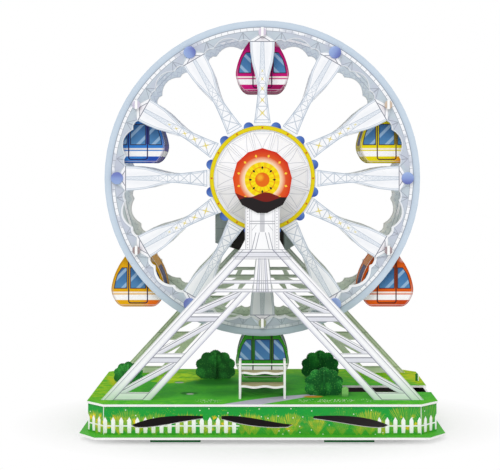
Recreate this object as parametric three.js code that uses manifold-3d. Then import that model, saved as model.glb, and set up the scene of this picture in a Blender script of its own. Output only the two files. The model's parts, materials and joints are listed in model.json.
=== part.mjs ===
// A foam-board ferris wheel model kit: a box base, two A-frames, a double wheel with six
// hanging cabins, and a hand crank that turns the wheel through a pair of gears.
// Millimetres, +Z up. The front of the model looks towards -Y.
import * as THREE from 'three'
import { mergeVertices } from 'three/addons/utils/BufferGeometryUtils.js'
import Module from 'manifold-3d'

const wasm = await Module()
wasm.setup()

// Board, fits and roundness
const BOARD = 2
const GAP = 0.3
const RUNNING = 0.5
const OVERRUN = 1
const MERGE = 0.001
const ROD_SIDES = 12
const HOLE_SIDES = 8
const HALF_TURN_STEPS = 6
const LEAF_STEPS = 8
const SPOKE_STEPS = 9
const CABIN_STEPS = 14
const SMALL_SCALLOP_STEPS = 3
const LARGE_SCALLOP_STEPS = 7
const TREE_LOBE_STEPS = 4

// Base plates and walls
const PLATE_OVERHANG_X = 5.4
const PLATE_OVERHANG_Y = 9.2
const PLATE_CHAMFER_X = 16
const PLATE_CHAMFER_Y = 15
const LAWN_LENGTH = 311.2
const LAWN_DEPTH = 150.6
const LAWN_CHAMFER_X = 16.7
const LAWN_CHAMFER_Y = 13.3
const WALL_HEIGHT = 24.5
const WALL_INSET = 1
const TAB_PROUD = 4.7
const TAB_WIDTH = 44
const TAB_CENTRES = 152
const NOTCH_REACH = 98.6
const NOTCH_NEAR = 28
const NOTCH_FAR = 1

// A-frames
const CABIN_CLEARANCE = 11.3
const TOWER_WIDTH = 30.8
const TOWER_HEAD = 16
const FOOT_MARGIN = 11.9
const LEG_WIDTH = 44.5
const OUTER_RAIL = 11.6
const INNER_RAIL = 8
const BRACE_THICKNESS = 6
const FOOT_TAB = 26
const FOOT_TAB_INSET = 9
const FOOT_TAB_UNDER = 1.5

// Picture disc on the tower
const DISC_RADIUS = 27.1

// Wheel
const RIM_RADIUS = 145
const RIM_WIDTH = 12.6
const RIM_CORNER_WIDTH = 19.6
const WHEEL_GAUGE = 58
const RIM_SIDES = 72
const SPOKES = 12
const SPOKE_END_WIDTH = 22.8
const BRACKET_TIP_WIDTH = 5
const BRACKET_RISE = 11
const HUB_RING_RADIUS = 48.3
const HUB_DISC_MARGIN = 0.7
const HUB_RING_WIDTH = 3.8
const LOBE_RADIUS = 4.6
const CONE_DEPTH = 22
const CONE_FRONT_RADIUS = 23
const CONE_WALL = 2.8
const CONE_CLEARANCE = 2
const AXLE_RADIUS = 3
const COLLAR_RADIUS = 6
const COLLAR_WIDTH = 2.4
const COLLAR_PLAY = 0.4

// Rods between the two rims
const ROD_INSET = 11.8
const SPACER_RADIUS = 2.4
const CAP_RADIUS = 5.6
const CAP_THICKNESS = 2
const PIN_RADIUS = 1.6
const PIN_PROUD = 2

// Cabins
const CABIN_WIDTH = 49.2
const CABIN_HANG = 52.6
const CABIN_DEPTH = 44
const CABIN_PANEL = 2
const SHELL_INSET = 0.6
const SHELL_WALL = 1.8

// Drive box, gears and crank
const BOX_CLEARANCE = 3
const BOX_LEFT = 46.5
const BOX_RIGHT = 33
const BOX_TOP = 31
const BOX_DROP = 72.5
const MODULE = 1.5
const GEAR_TEETH = 36
const PINION_TEETH = 12
const GEAR_WIDTH = 5
const PINION_WIDTH = 7
const GEAR_SETBACK = 5
const MESH_PLAY = 0.3
const CRANK_BEARING_DEG = 235
const CRANK_SHAFT_RADIUS = 3
const CRANK_STUB_RADIUS = 2
const CRANK_COLLAR_RADIUS = 5.5
const CRANK_LENGTH = 30
const ARM_WIDTH = 9
const ARM_THICKNESS = 3
const KNOB_RADIUS = 4.5
const KNOB_LENGTH = 12
const KNOB_EDGE = 1
const KNOB_PIN_RADIUS = 1.5
const KNOB_HEAD_RADIUS = 3
const KNOB_HEAD_THICKNESS = 1.2

// Stairs and trees
const STAIR_WIDTH = 42
const STAIR_HEIGHT = 33.9
const STAIR_DEPTH = 27
const STAIR_FRONT_GAP = 1.5
const TREAD_DEPTH = 15
const TREE_WIDTH = 42
const TREE_HEIGHT = 28
const TREE_ARM = 13
const TREE_LOBES = 7

// Heights, depths, lengths and radii that follow from the sizes above
const plateTop = TAB_PROUD + BOARD
const lawnUnder = plateTop + WALL_HEIGHT
const lawnTop = lawnUnder + BOARD
const rimScallopRadius = RIM_RADIUS - RIM_WIDTH
const rimCornerRadius = RIM_RADIUS - RIM_CORNER_WIDTH
const rodCircleRadius = RIM_RADIUS - ROD_INSET
const hubDiscRadius = HUB_RING_RADIUS + HUB_DISC_MARGIN
const axisRise = rodCircleRadius + CABIN_HANG + CABIN_CLEARANCE
const axisHeight = lawnTop + axisRise
const plateLength = LAWN_LENGTH + 2 * PLATE_OVERHANG_X
const plateDepth = LAWN_DEPTH + 2 * PLATE_OVERHANG_Y
const footSpan = LAWN_LENGTH - 2 * FOOT_MARGIN
const rimInner = WHEEL_GAUGE / 2
const rimOuter = rimInner + BOARD
const spokesOuter = rimOuter + BOARD
const frameInner = spokesOuter + CONE_DEPTH + CONE_CLEARANCE
const frameOuter = frameInner + BOARD
const boxFront = spokesOuter + BOX_CLEARANCE
const coverFront = frameInner - BOARD
const boreRadius = AXLE_RADIUS + RUNNING
const seatRadius = AXLE_RADIUS + GAP
const gearFront = boxFront + BOARD + GEAR_SETBACK
const gearPitchRadius = (MODULE * GEAR_TEETH) / 2
const pinionPitchRadius = (MODULE * PINION_TEETH) / 2
const gearCentres = gearPitchRadius + pinionPitchRadius
const crankX = gearCentres * Math.cos(THREE.MathUtils.degToRad(CRANK_BEARING_DEG))
const crankZ = gearCentres * Math.sin(THREE.MathUtils.degToRad(CRANK_BEARING_DEG))

// Outlines, as shares of the sizes that they follow
const barShares = {
  foot: [0, 0.033],
  lower: [0.168, 0.21],
  middle: [0.353, 0.394],
  upper: [0.486, 0.502],
  truss: [0.525, 0.541],
  shoulder: [0.635, 0.681],
}
const towerFootShare = 0.723
const shoulderWidthShare = 1.29
const fanTopShare = 0.36
const fanFootShare = 0.58
const trussPostShares = [0.42, 0.58]
const discShares = [
  [0, 1],
  [-0.47, 0.86],
  [-0.83, 0.53],
  [-0.97, 0.02],
  [-0.89, -0.48],
  [-0.67, -0.86],
  [-0.16, -1.13],
]
const spokeRadiusShares = [0.39, 0.43, 0.53, 0.61, 0.66, 0.74, 0.83, 0.92, 1]
const spokeWidthShares = [0.7, 0.65, 0.49, 0.4, 0.38, 0.53, 0.81, 0.96, 1]
const scallopAngleShares = [0.16, 0.31, 0.69, 0.84]
const scallopReachShares = { small: 0.4, lip: 0.225, large: 1 }
const betweenSpokesShares = [1 / 4, 3 / 4]
const toothShares = { addendum: 0.85, dedendum: 1.15, rootHalf: 0.68, tipHalf: 0.24 }
const cabinShares = [
  [0, 0.09],
  [0.19, 0.075],
  [0.35, 0.01],
  [0.5, -0.12],
  [0.7, -0.26],
  [0.89, -0.45],
  [1, -0.66],
  [0.97, -0.79],
  [0.84, -0.91],
  [0.7, -0.975],
  [0.57, -1],
]
const boxShares = [
  [-1, -0.89],
  [-0.43, -1],
  [0.69, -1],
  [1, -0.91],
]
const leafShares = [
  {
    upper: [[-0.826, 0.33], [-0.72, 0.6], [-0.6, 0.72], [-0.374, 0.66]],
    lower: [[-0.374, 0.56], [-0.52, 0.46], [-0.72, 0.17], [-0.8, 0.25]],
  },
  {
    upper: [[0.195, 0.35], [0.05, 0.42], [-0.12, 0.73], [-0.258, 0.66]],
    lower: [[-0.258, 0.54], [-0.16, 0.38], [-0.02, 0.19], [0.16, 0.25]],
  },
  {
    upper: [[0.796, 0.33], [0.7, 0.58], [0.58, 0.73], [0.322, 0.66]],
    lower: [[0.322, 0.56], [0.475, 0.46], [0.685, 0.17], [0.769, 0.25]],
  },
]
const stairShares = { lower: 0.29, upper: 0.62, setback: 0.3 }
const treeLobeShare = 0.11
const treeWaistShare = 0.36
const treeShares = [
  { name: 'left_tree', size: 1, across: -0.296, back: 0.405 },
  { name: 'right_rear_tree', size: 0.95, across: 0.366, back: 0.478 },
  { name: 'right_front_tree', size: 0.9, across: 0.36, back: -0.525 },
  { name: 'left_rear_tree', size: 0.72, across: -0.829, back: 0.159 },
]

// Shape helpers
const radians = THREE.MathUtils.degToRad
const spot = (x, y) => new THREE.Vector2(x, y)

function onCircle(radius, degrees) {
  return spot(radius * Math.cos(radians(degrees)), radius * Math.sin(radians(degrees)))
}

function ring(radius, sides, x = 0, y = 0, turn = 0) {
  const points = []
  for (let i = 0; i < sides; i += 1) {
    points.push(onCircle(radius, turn + (360 * i) / sides).add(spot(x, y)))
  }
  return points
}

function halfCircle(radius, start, x = 0, y = 0) {
  const points = []
  for (let k = 0; k <= HALF_TURN_STEPS; k += 1) {
    points.push(onCircle(radius, start + (180 * k) / HALF_TURN_STEPS).add(spot(x, y)))
  }
  return points
}

function box(x0, x1, y0, y1) {
  return [spot(x0, y0), spot(x1, y0), spot(x1, y1), spot(x0, y1)]
}

function mirrored(half) {
  const other = half.filter((p) => p.x !== 0).map((p) => spot(-p.x, p.y))
  return [...half, ...other.reverse()]
}

// A closed outline moved inwards, each corner along its mitre. It runs counter-clockwise.
function inset(points, distance) {
  return points.map((p, i) => {
    const before = points[(i + points.length - 1) % points.length]
    const after = points[(i + 1) % points.length]
    const into = p.clone().sub(before).normalize()
    const out = after.clone().sub(p).normalize()
    const normalIn = spot(-into.y, into.x)
    const normalOut = spot(-out.y, out.x)
    const scale = distance / (1 + normalIn.dot(normalOut))
    return p.clone().add(normalIn.add(normalOut).multiplyScalar(scale))
  })
}

function octagon(length, depth, chamferX, chamferY) {
  const x = length / 2
  const y = depth / 2
  return [
    spot(-x + chamferX, -y),
    spot(x - chamferX, -y),
    spot(x, -y + chamferY),
    spot(x, y - chamferY),
    spot(x - chamferX, y),
    spot(-x + chamferX, y),
    spot(-x, y - chamferY),
    spot(-x, -y + chamferY),
  ]
}

// A sheet cut to an outline, with holes right through it
function extruded(outline, holes, thickness) {
  const cut = (points, depth) =>
    new THREE.ExtrudeGeometry(new THREE.Shape(points), { depth, bevelEnabled: false })
  const sheet = cut(outline, thickness)
  if (holes.length === 0) {
    return sheet
  }
  const depth = thickness + 2 * OVERRUN
  const punches = holes.map((hole) => solid(cut(hole, depth).translate(0, 0, -OVERRUN)))
  return geometryOf(punches.reduce((body, punch) => body.subtract(punch), solid(sheet)))
}

// A sheet lying level, from its underside up
function level(outline, holes, z, thickness = BOARD) {
  return extruded(outline, holes, thickness).translate(0, 0, z)
}

// A sheet facing the front: its outline is in X and Z, and it fills y to y + thickness
function upright(outline, holes, y, thickness = BOARD) {
  const turn = new THREE.Matrix4().makeBasis(
    new THREE.Vector3(1, 0, 0),
    new THREE.Vector3(0, 0, 1),
    new THREE.Vector3(0, -1, 0),
  )
  return extruded(outline, holes, thickness).applyMatrix4(turn).translate(0, y + thickness, 0)
}

// A sheet facing sideways: its outline is in Y and Z, and it fills x to x + thickness
function sideways(outline, holes, x, thickness = BOARD) {
  const turn = new THREE.Matrix4().makeBasis(
    new THREE.Vector3(0, 1, 0),
    new THREE.Vector3(0, 0, 1),
    new THREE.Vector3(1, 0, 0),
  )
  return extruded(outline, holes, thickness).applyMatrix4(turn).translate(x, 0, 0)
}

// A turned piece on an axis along Y, from its [radius, y] profile
function turned(profile, sides = ROD_SIDES) {
  return new THREE.LatheGeometry(profile.map(([radius, y]) => spot(radius, y)), sides)
}

function rod(radius, y0, y1, sides = ROD_SIDES) {
  return turned([[0, y0], [radius, y0], [radius, y1], [0, y1]], sides)
}

function solid(geometry) {
  const bare = geometry.index ? geometry.toNonIndexed() : geometry.clone()
  bare.deleteAttribute('normal')
  bare.deleteAttribute('uv')
  const merged = mergeVertices(bare, MERGE)
  return new wasm.Manifold(
    new wasm.Mesh({
      numProp: 3,
      vertProperties: new Float32Array(merged.attributes.position.array),
      triVerts: new Uint32Array(merged.index.array),
    }),
  )
}

function geometryOf(manifold) {
  const mesh = manifold.getMesh()
  const geometry = new THREE.BufferGeometry()
  geometry.setAttribute('position', new THREE.BufferAttribute(mesh.vertProperties, 3))
  geometry.setIndex(new THREE.BufferAttribute(mesh.triVerts, 1))
  geometry.computeVertexNormals()
  return geometry
}

// Finishes
function finish(color, roughness, metalness = 0) {
  return new THREE.MeshStandardMaterial({ color, roughness, metalness })
}
const finishes = {
  lawn: finish(0x2fa53c, 0.55),
  hedge: finish(0x23a03c, 0.55),
  tree: finish(0x0f5a23, 0.6),
  frame: finish(0xe6e4ec, 0.5),
  rim: finish(0xcbdae8, 0.5),
  spoke: finish(0xeef2f6, 0.5),
  hubRing: finish(0xe8d600, 0.45),
  disc: finish(0xd2231e, 0.45),
  cap: finish(0x7384c3, 0.35),
  wood: finish(0xc9a271, 0.7),
  box: finish(0x556462, 0.6),
  gear: finish(0xd9b13b, 0.45),
  crank: finish(0x4a5560, 0.4),
  knob: finish(0xd2372c, 0.35),
}

const model = new THREE.Group()

function add(name, geometry, material, x = 0, y = 0, z = 0) {
  const mesh = new THREE.Mesh(geometry, material)
  mesh.name = name
  mesh.position.set(x, y, z)
  model.add(mesh)
}

// Base: two chamfered plates with folded walls between them
const lawnOutline = octagon(LAWN_LENGTH, LAWN_DEPTH, LAWN_CHAMFER_X, LAWN_CHAMFER_Y)
const wallOuter = inset(lawnOutline, WALL_INSET)
const wallInner = inset(wallOuter, BOARD)
const wallFace = LAWN_DEPTH / 2 - WALL_INSET
const wallStraight = LAWN_LENGTH / 2 - LAWN_CHAMFER_X
const tabXs = [-TAB_CENTRES / 2, TAB_CENTRES / 2]

function bottomPlate() {
  const outline = octagon(plateLength, plateDepth, PLATE_CHAMFER_X, PLATE_CHAMFER_Y)
  const half = TAB_WIDTH / 2 + GAP
  const holes = []
  for (const x of tabXs) {
    for (const side of [-1, 1]) {
      const middle = side * (wallFace - BOARD / 2)
      const reach = BOARD / 2 + GAP
      holes.push(box(x - half, x + half, middle - reach, middle + reach))
    }
  }
  return level(outline, holes, TAB_PROUD)
}

function footTabs() {
  const outer = footSpan / 2 - FOOT_TAB_INSET
  return [[-outer, -outer + FOOT_TAB], [outer - FOOT_TAB, outer]]
}

function topPlate() {
  const outline = octagon(LAWN_LENGTH, LAWN_DEPTH, LAWN_CHAMFER_X, LAWN_CHAMFER_Y)
  const right = LAWN_LENGTH / 2
  const notch = [
    spot(right, -NOTCH_NEAR),
    spot(right - NOTCH_REACH, -NOTCH_NEAR),
    spot(right - NOTCH_REACH, -NOTCH_FAR),
    spot(right, -NOTCH_FAR),
  ]
  outline.splice(3, 0, ...notch)
  const holes = []
  for (const y0 of [-frameOuter, frameInner]) {
    for (const [x0, x1] of footTabs()) {
      holes.push(box(x0 - GAP, x1 + GAP, y0 - GAP, y0 + BOARD + GAP))
    }
  }
  return level(outline, holes, lawnUnder)
}

// A leaf-shaped cut-out: along its upper edge from the thick end to the thin one, and back below
function leaf({ upper, lower }) {
  return [upper, lower].flatMap((shares) => {
    const corners = shares.map(([x, z]) => spot(x * wallStraight, plateTop + z * WALL_HEIGHT))
    return new THREE.CubicBezierCurve(...corners).getPoints(LEAF_STEPS)
  })
}

// A wall that covers one long side and folds round both chamfers. side is -1 for the front.
function longWall(side, cutOuts) {
  const pick = side < 0 ? [7, 0, 1, 2] : [3, 4, 5, 6]
  const outline = [...pick.map((i) => wallOuter[i]), ...pick.map((i) => wallInner[i]).reverse()]
  let wall = solid(level(outline, [], plateTop, WALL_HEIGHT))
  const y0 = side < 0 ? -wallFace : wallFace - BOARD
  for (const x of tabXs) {
    const tab = box(x - TAB_WIDTH / 2, x + TAB_WIDTH / 2, y0, y0 + BOARD)
    wall = wall.add(solid(level(tab, [], 0, plateTop + OVERRUN)))
  }
  for (const cut of cutOuts) {
    wall = wall.subtract(solid(upright(leaf(cut), [], y0 - OVERRUN, BOARD + 2 * OVERRUN)))
  }
  return geometryOf(wall)
}

// An end wall between two chamfers, its ends mitred to the long walls
function endWall(side) {
  const [a, b] = side < 0 ? [6, 7] : [2, 3]
  const shift = side < 0 ? spot(0, -GAP) : spot(0, GAP)
  const outline = [
    wallOuter[a].clone().add(shift),
    wallOuter[b].clone().sub(shift),
    wallInner[b].clone().sub(shift),
    wallInner[a].clone().add(shift),
  ]
  return level(outline, [], plateTop, WALL_HEIGHT)
}

add('bottom_plate', bottomPlate(), finishes.lawn)
add('top_plate', topPlate(), finishes.lawn)
add('front_wall', longWall(-1, leafShares), finishes.hedge)
add('rear_wall', longWall(1, []), finishes.hedge)
add('left_wall', endWall(-1), finishes.hedge)
add('right_wall', endWall(1), finishes.hedge)

// A-frames: a tower on two braced legs, cut from one board
const rise = (share) => lawnTop + share * axisRise
const towerHalf = TOWER_WIDTH / 2
const shoulderHalf = towerHalf * shoulderWidthShare
const shoulderZ = rise(barShares.shoulder[1])
const legSpread = (footSpan / 2 - shoulderHalf) / (shoulderZ - lawnTop)
const legOuter = (z) => shoulderHalf + (shoulderZ - z) * legSpread
const openingOuter = (z) => legOuter(z) - OUTER_RAIL
const openingInner = (z) => legOuter(z) - LEG_WIDTH + INNER_RAIL

// A bay of a leg: two triangles on either side of a brace that runs from its outer foot to its
// inner head. The brace's thickness is measured upright.
function bayOpenings(bottom, top) {
  const foot = spot(openingOuter(bottom), bottom)
  const head = spot(openingInner(top), top)
  const half = spot(0, BRACE_THICKNESS / 2)
  const atSill = half.y / (top - bottom)
  const atRail = (half.y * legSpread) / (LEG_WIDTH - OUTER_RAIL - INNER_RAIL)
  const under = [
    spot(openingInner(bottom), bottom),
    foot.clone().lerp(head, atSill).sub(half),
    head.clone().lerp(foot, atRail).sub(half),
  ]
  const over = [
    foot.clone().lerp(head, atRail).add(half),
    spot(openingOuter(top), top),
    head.clone().lerp(foot, atSill).add(half),
  ]
  return [under, over]
}

function frameOpenings() {
  const fanHalf = (z) => {
    const low = rise(barShares.upper[0])
    const high = rise(barShares.shoulder[0])
    const share = (z - low) / (high - low)
    return towerHalf * (fanFootShare + (fanTopShare - fanFootShare) * share)
  }
  const bays = [
    [barShares.foot[1], barShares.lower[0]],
    [barShares.lower[1], barShares.middle[0]],
    [barShares.middle[1], barShares.upper[0]],
  ]
  const openings = bays.flatMap(([low, high]) => bayOpenings(rise(low), rise(high)))
  const sill = rise(barShares.truss[1])
  const head = rise(barShares.shoulder[0])
  openings.push([
    spot(fanHalf(sill), sill),
    spot(openingOuter(sill), sill),
    spot(openingOuter(head), head),
    spot(fanHalf(head), head),
  ])
  const floor = rise(barShares.upper[1])
  const ceiling = rise(barShares.truss[0])
  const across = (z, share) => fanHalf(z) + (openingOuter(z) - fanHalf(z)) * share
  for (const [from, to] of [[0, trussPostShares[0]], [trussPostShares[1], 1]]) {
    openings.push([
      spot(across(floor, from), floor),
      spot(across(floor, to), floor),
      spot(across(ceiling, to), ceiling),
      spot(across(ceiling, from), ceiling),
    ])
  }
  return openings
}

function frame(y) {
  const tabTop = lawnTop
  const tabFoot = lawnUnder - FOOT_TAB_UNDER
  const [, [tabInner, tabOuter]] = footTabs()
  const apex = rise(barShares.upper[0])
  const half = [
    spot(0, axisHeight + TOWER_HEAD),
    spot(-towerHalf / 2, axisHeight + TOWER_HEAD),
    spot(-towerHalf, axisHeight + TOWER_HEAD / 2),
    spot(-towerHalf, rise(towerFootShare)),
    spot(-shoulderHalf, shoulderZ),
    spot(-footSpan / 2, lawnTop),
    spot(-tabOuter, tabTop),
    spot(-tabOuter, tabFoot),
    spot(-tabInner, tabFoot),
    spot(-tabInner, tabTop),
    spot(-(footSpan / 2 - LEG_WIDTH), lawnTop),
    spot(-(legOuter(apex) - LEG_WIDTH), apex),
  ]
  const right = frameOpenings()
  const left = right.map((hole) => hole.map((p) => spot(-p.x, p.y)).reverse())
  const bore = ring(boreRadius, ROD_SIDES, 0, axisHeight)
  return upright(mirrored(half), [...right, ...left, bore], y)
}

add('front_frame', frame(-frameOuter), finishes.frame)
add('rear_frame', frame(frameInner), finishes.frame)

function discOutline() {
  const half = discShares.map(([x, z]) => spot(x * DISC_RADIUS, axisHeight + z * DISC_RADIUS))
  return mirrored(half)
}
add('front_disc', upright(discOutline(), [], -frameOuter - BOARD), finishes.disc)

// Drive box: a folded tray that is open to the rear, and a cover let in flush
function boxOutline() {
  const foot = boxShares.map(([x, z]) => {
    const reach = x < 0 ? BOX_LEFT : BOX_RIGHT
    return spot(x * reach, axisHeight + z * BOX_DROP)
  })
  return [...foot, spot(BOX_RIGHT, axisHeight + BOX_TOP), spot(-BOX_LEFT, axisHeight + BOX_TOP)]
}

function driveBox() {
  const stub = ring(CRANK_STUB_RADIUS + RUNNING, ROD_SIDES, crankX, axisHeight + crankZ)
  const bore = ring(boreRadius, ROD_SIDES, 0, axisHeight)
  const face = solid(upright(boxOutline(), [bore, stub], boxFront))
  const room = inset(boxOutline(), BOARD)
  const sides = solid(upright(boxOutline(), [room], boxFront, frameInner - boxFront))
  return geometryOf(face.add(sides))
}

function boxCover() {
  const outline = inset(boxOutline(), BOARD + GAP)
  const bore = ring(boreRadius, ROD_SIDES, 0, axisHeight)
  const crankBore = ring(CRANK_SHAFT_RADIUS + RUNNING, ROD_SIDES, crankX, axisHeight + crankZ)
  return upright(outline, [bore, crankBore], coverFront)
}

add('drive_box', driveBox(), finishes.box)
add('drive_box_cover', boxCover(), finishes.box)

// Stairs up to the lowest cabin
const stairBack = -frameInner + STAIR_FRONT_GAP + STAIR_DEPTH
const stairFront = -frameInner + STAIR_FRONT_GAP

function stairSide(x) {
  const foot = lawnTop
  const outline = [
    spot(stairFront, foot),
    spot(stairBack, foot),
    spot(stairBack, foot + stairShares.upper * STAIR_HEIGHT),
    spot(stairFront + STAIR_DEPTH / 2, foot + STAIR_HEIGHT),
    spot(stairFront, foot + STAIR_HEIGHT),
  ]
  return sideways(outline, [], x)
}

function tread(z, setback) {
  const half = STAIR_WIDTH / 2 - BOARD
  const front = stairFront + setback
  return level(box(-half, half, front, front + TREAD_DEPTH - setback), [], z)
}

add('stair_left_side', stairSide(-STAIR_WIDTH / 2), finishes.frame)
add('stair_right_side', stairSide(STAIR_WIDTH / 2 - BOARD), finishes.frame)
const lowerTread = lawnTop + stairShares.lower * STAIR_HEIGHT
const upperTread = lawnTop + stairShares.upper * STAIR_HEIGHT
add('stair_lower_tread', tread(lowerTread, 0), finishes.frame)
add('stair_upper_tread', tread(upperTread, stairShares.setback * TREAD_DEPTH), finishes.frame)

// Trees: two lobed boards that cross
function treeOutline(width, height) {
  const waist = treeWaistShare * height
  const crown = height - waist
  const footAngle = THREE.MathUtils.radToDeg(Math.asin(waist / crown))
  const steps = TREE_LOBES * TREE_LOBE_STEPS
  const lobes = []
  for (let i = 0; i <= steps; i += 1) {
    const turn = -footAngle + ((180 + 2 * footAngle) * i) / steps
    const wave = Math.abs(Math.sin(radians((180 * i) / TREE_LOBE_STEPS)))
    const p = onCircle(1 - treeLobeShare * (1 - wave), turn)
    lobes.push(spot((p.x * width) / 2, waist + p.y * crown))
  }
  const footHalf = lobes[0].x
  return [spot(-footHalf, 0), spot(footHalf, 0), ...lobes]
}

function tree(scale) {
  const height = TREE_HEIGHT * scale
  const wide = upright(treeOutline(TREE_WIDTH * scale, height), [], -BOARD / 2)
  const deep = sideways(treeOutline(TREE_ARM * scale, height), [], -BOARD / 2)
  return geometryOf(solid(wide).add(solid(deep)))
}

for (const { name, size, across, back } of treeShares) {
  const x = (across * LAWN_LENGTH) / 2
  const y = (back * LAWN_DEPTH) / 2
  add(name, tree(size), finishes.tree, x, y, lawnTop)
}

// Wheel: on each side a scalloped rim with a spoked sheet over it
const spokePitch = 360 / SPOKES
const isCabinSpoke = (i) => i % 2 === 1

// Between neighbouring spokes the inner edge has a small, a large and a small scallop
function rimInnerEdge() {
  const reach = (share) => rimCornerRadius + (rimScallopRadius - rimCornerRadius) * share
  const { small, lip, large } = scallopReachShares
  const [a, b, c, d] = scallopAngleShares
  const scallops = [
    { from: a, to: b, start: 0, crest: small, end: lip, steps: SMALL_SCALLOP_STEPS },
    { from: b, to: c, start: lip, crest: large, end: lip, steps: LARGE_SCALLOP_STEPS },
    { from: c, to: d, start: lip, crest: small, end: 0, steps: SMALL_SCALLOP_STEPS },
  ]
  const points = []
  for (let i = 0; i < SPOKES; i += 1) {
    for (const { from, to, start, crest, end, steps } of scallops) {
      for (let k = 0; k < steps; k += 1) {
        const t = k / steps
        const bulge = (crest - (start + end) / 2) * 4 * t * (1 - t)
        const share = start + (end - start) * t + bulge
        points.push(onCircle(reach(share), (i + from + (to - from) * t) * spokePitch))
      }
    }
    points.push(onCircle(rimCornerRadius, (i + d) * spokePitch))
  }
  return points
}

function rodHoles() {
  const holes = []
  for (let i = 0; i < SPOKES; i += 1) {
    const radius = (isCabinSpoke(i) ? PIN_RADIUS : SPACER_RADIUS) + GAP
    const middle = onCircle(rodCircleRadius, i * spokePitch)
    holes.push(ring(radius, HOLE_SIDES, middle.x, middle.y))
  }
  return holes
}

function rim(y) {
  return upright(ring(RIM_RADIUS, RIM_SIDES), [rimInnerEdge(), ...rodHoles()], y)
}

function spokeEdge() {
  const halfWidths = spokeWidthShares.map((share) => (share * SPOKE_END_WIDTH) / 2)
  const points = spokeRadiusShares.map((share, k) => spot(share * rimCornerRadius, halfWidths[k]))
  return new THREE.SplineCurve(points).getPoints(SPOKE_STEPS)
}

function spokesOutline() {
  const points = []
  const edge = spokeEdge()
  const tip = spot(rimCornerRadius + BRACKET_RISE, BRACKET_TIP_WIDTH / 2)
  const rootAngle = THREE.MathUtils.radToDeg(Math.atan2(edge[0].y, edge[0].x))
  const along = [...edge.map((p) => spot(p.x, -p.y)), spot(tip.x, -tip.y), tip, ...edge.reverse()]
  for (let i = 0; i < SPOKES; i += 1) {
    along.forEach((p) => points.push(p.clone().rotateAround(spot(0, 0), radians(i * spokePitch))))
    for (const share of betweenSpokesShares) {
      const turn = i * spokePitch + rootAngle + (spokePitch - 2 * rootAngle) * share
      points.push(onCircle(hubDiscRadius, turn))
    }
  }
  return points
}

function spokes(y) {
  return upright(spokesOutline(), [ring(seatRadius, ROD_SIDES), ...rodHoles()], y)
}

function hubRing(y) {
  const points = []
  const half = THREE.MathUtils.radToDeg(Math.asin(LOBE_RADIUS / HUB_RING_RADIUS))
  for (let i = 0; i < SPOKES; i += 1) {
    const turn = (i + 1 / 2) * spokePitch
    const middle = onCircle(HUB_RING_RADIUS, turn)
    points.push(...halfCircle(LOBE_RADIUS, turn - 90, middle.x, middle.y))
    const gap = spokePitch - 2 * half
    for (const share of betweenSpokesShares) {
      points.push(onCircle(HUB_RING_RADIUS, turn + half + gap * share))
    }
  }
  const inner = ring(HUB_RING_RADIUS - HUB_RING_WIDTH, RIM_SIDES / 2)
  return upright(points, [inner], y)
}

function cone() {
  const wide = HUB_RING_RADIUS - HUB_RING_WIDTH - GAP
  const y0 = -spokesOuter
  const y1 = y0 - CONE_DEPTH
  const profile = [
    [wide, y0],
    [wide - CONE_WALL, y0],
    [CONE_FRONT_RADIUS - CONE_WALL, y1],
    [CONE_FRONT_RADIUS, y1],
    [wide, y0],
  ]
  return turned(profile, SPOKES).rotateY(radians(spokePitch / 2))
}

function axle() {
  const front = -frameOuter + GAP
  const back = frameOuter + GAP
  const frontCollar = -frameInner + COLLAR_PLAY
  const backCollar = coverFront - COLLAR_PLAY
  return turned([
    [0, front],
    [AXLE_RADIUS, front],
    [AXLE_RADIUS, frontCollar],
    [COLLAR_RADIUS, frontCollar],
    [COLLAR_RADIUS, frontCollar + COLLAR_WIDTH],
    [AXLE_RADIUS, frontCollar + COLLAR_WIDTH],
    [AXLE_RADIUS, backCollar - COLLAR_WIDTH],
    [COLLAR_RADIUS, backCollar - COLLAR_WIDTH],
    [COLLAR_RADIUS, backCollar],
    [AXLE_RADIUS, backCollar],
    [AXLE_RADIUS, back],
    [0, back],
  ])
}

// Plain straight-sided teeth with play in the mesh
function gearOutline(teeth, phase) {
  const pitch = (MODULE * teeth) / 2
  const tip = pitch + toothShares.addendum * MODULE
  const root = pitch - toothShares.dedendum * MODULE
  const step = 360 / teeth
  const wide = (length, radius) => THREE.MathUtils.radToDeg(length / radius)
  const toothAtPitch = (Math.PI * MODULE) / 2 - MESH_PLAY
  const points = []
  for (let i = 0; i < teeth; i += 1) {
    const middle = phase + i * step
    const rootHalf = wide(toothAtPitch * toothShares.rootHalf, root)
    const tipHalf = wide(toothAtPitch * toothShares.tipHalf, tip)
    points.push(onCircle(root, middle - rootHalf), onCircle(tip, middle - tipHalf))
    points.push(onCircle(tip, middle + tipHalf), onCircle(root, middle + rootHalf))
  }
  return points
}

function driveGear() {
  const phase = CRANK_BEARING_DEG + 180 / GEAR_TEETH
  return upright(gearOutline(GEAR_TEETH, phase), [ring(seatRadius, ROD_SIDES)], gearFront, GEAR_WIDTH)
}

add('front_rim', rim(-rimOuter), finishes.rim, 0, 0, axisHeight)
add('rear_rim', rim(rimInner), finishes.rim, 0, 0, axisHeight)
add('front_spokes', spokes(-spokesOuter), finishes.spoke, 0, 0, axisHeight)
add('rear_spokes', spokes(rimOuter), finishes.spoke, 0, 0, axisHeight)
add('front_hub_ring', hubRing(-spokesOuter - BOARD), finishes.hubRing, 0, 0, axisHeight)
add('hub_cone', cone(), finishes.spoke, 0, 0, axisHeight)
add('axle', axle(), finishes.wood, 0, 0, axisHeight)
add('drive_gear', driveGear(), finishes.gear, 0, 0, axisHeight)

// Six spacers with round caps hold the rims apart, and six pins carry the cabins
function spacer() {
  const seat = spokesOuter
  const end = seat + CAP_THICKNESS
  return turned([
    [0, -end],
    [CAP_RADIUS, -end],
    [CAP_RADIUS, -seat],
    [SPACER_RADIUS, -seat],
    [SPACER_RADIUS, seat],
    [CAP_RADIUS, seat],
    [CAP_RADIUS, end],
    [0, end],
  ])
}

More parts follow.
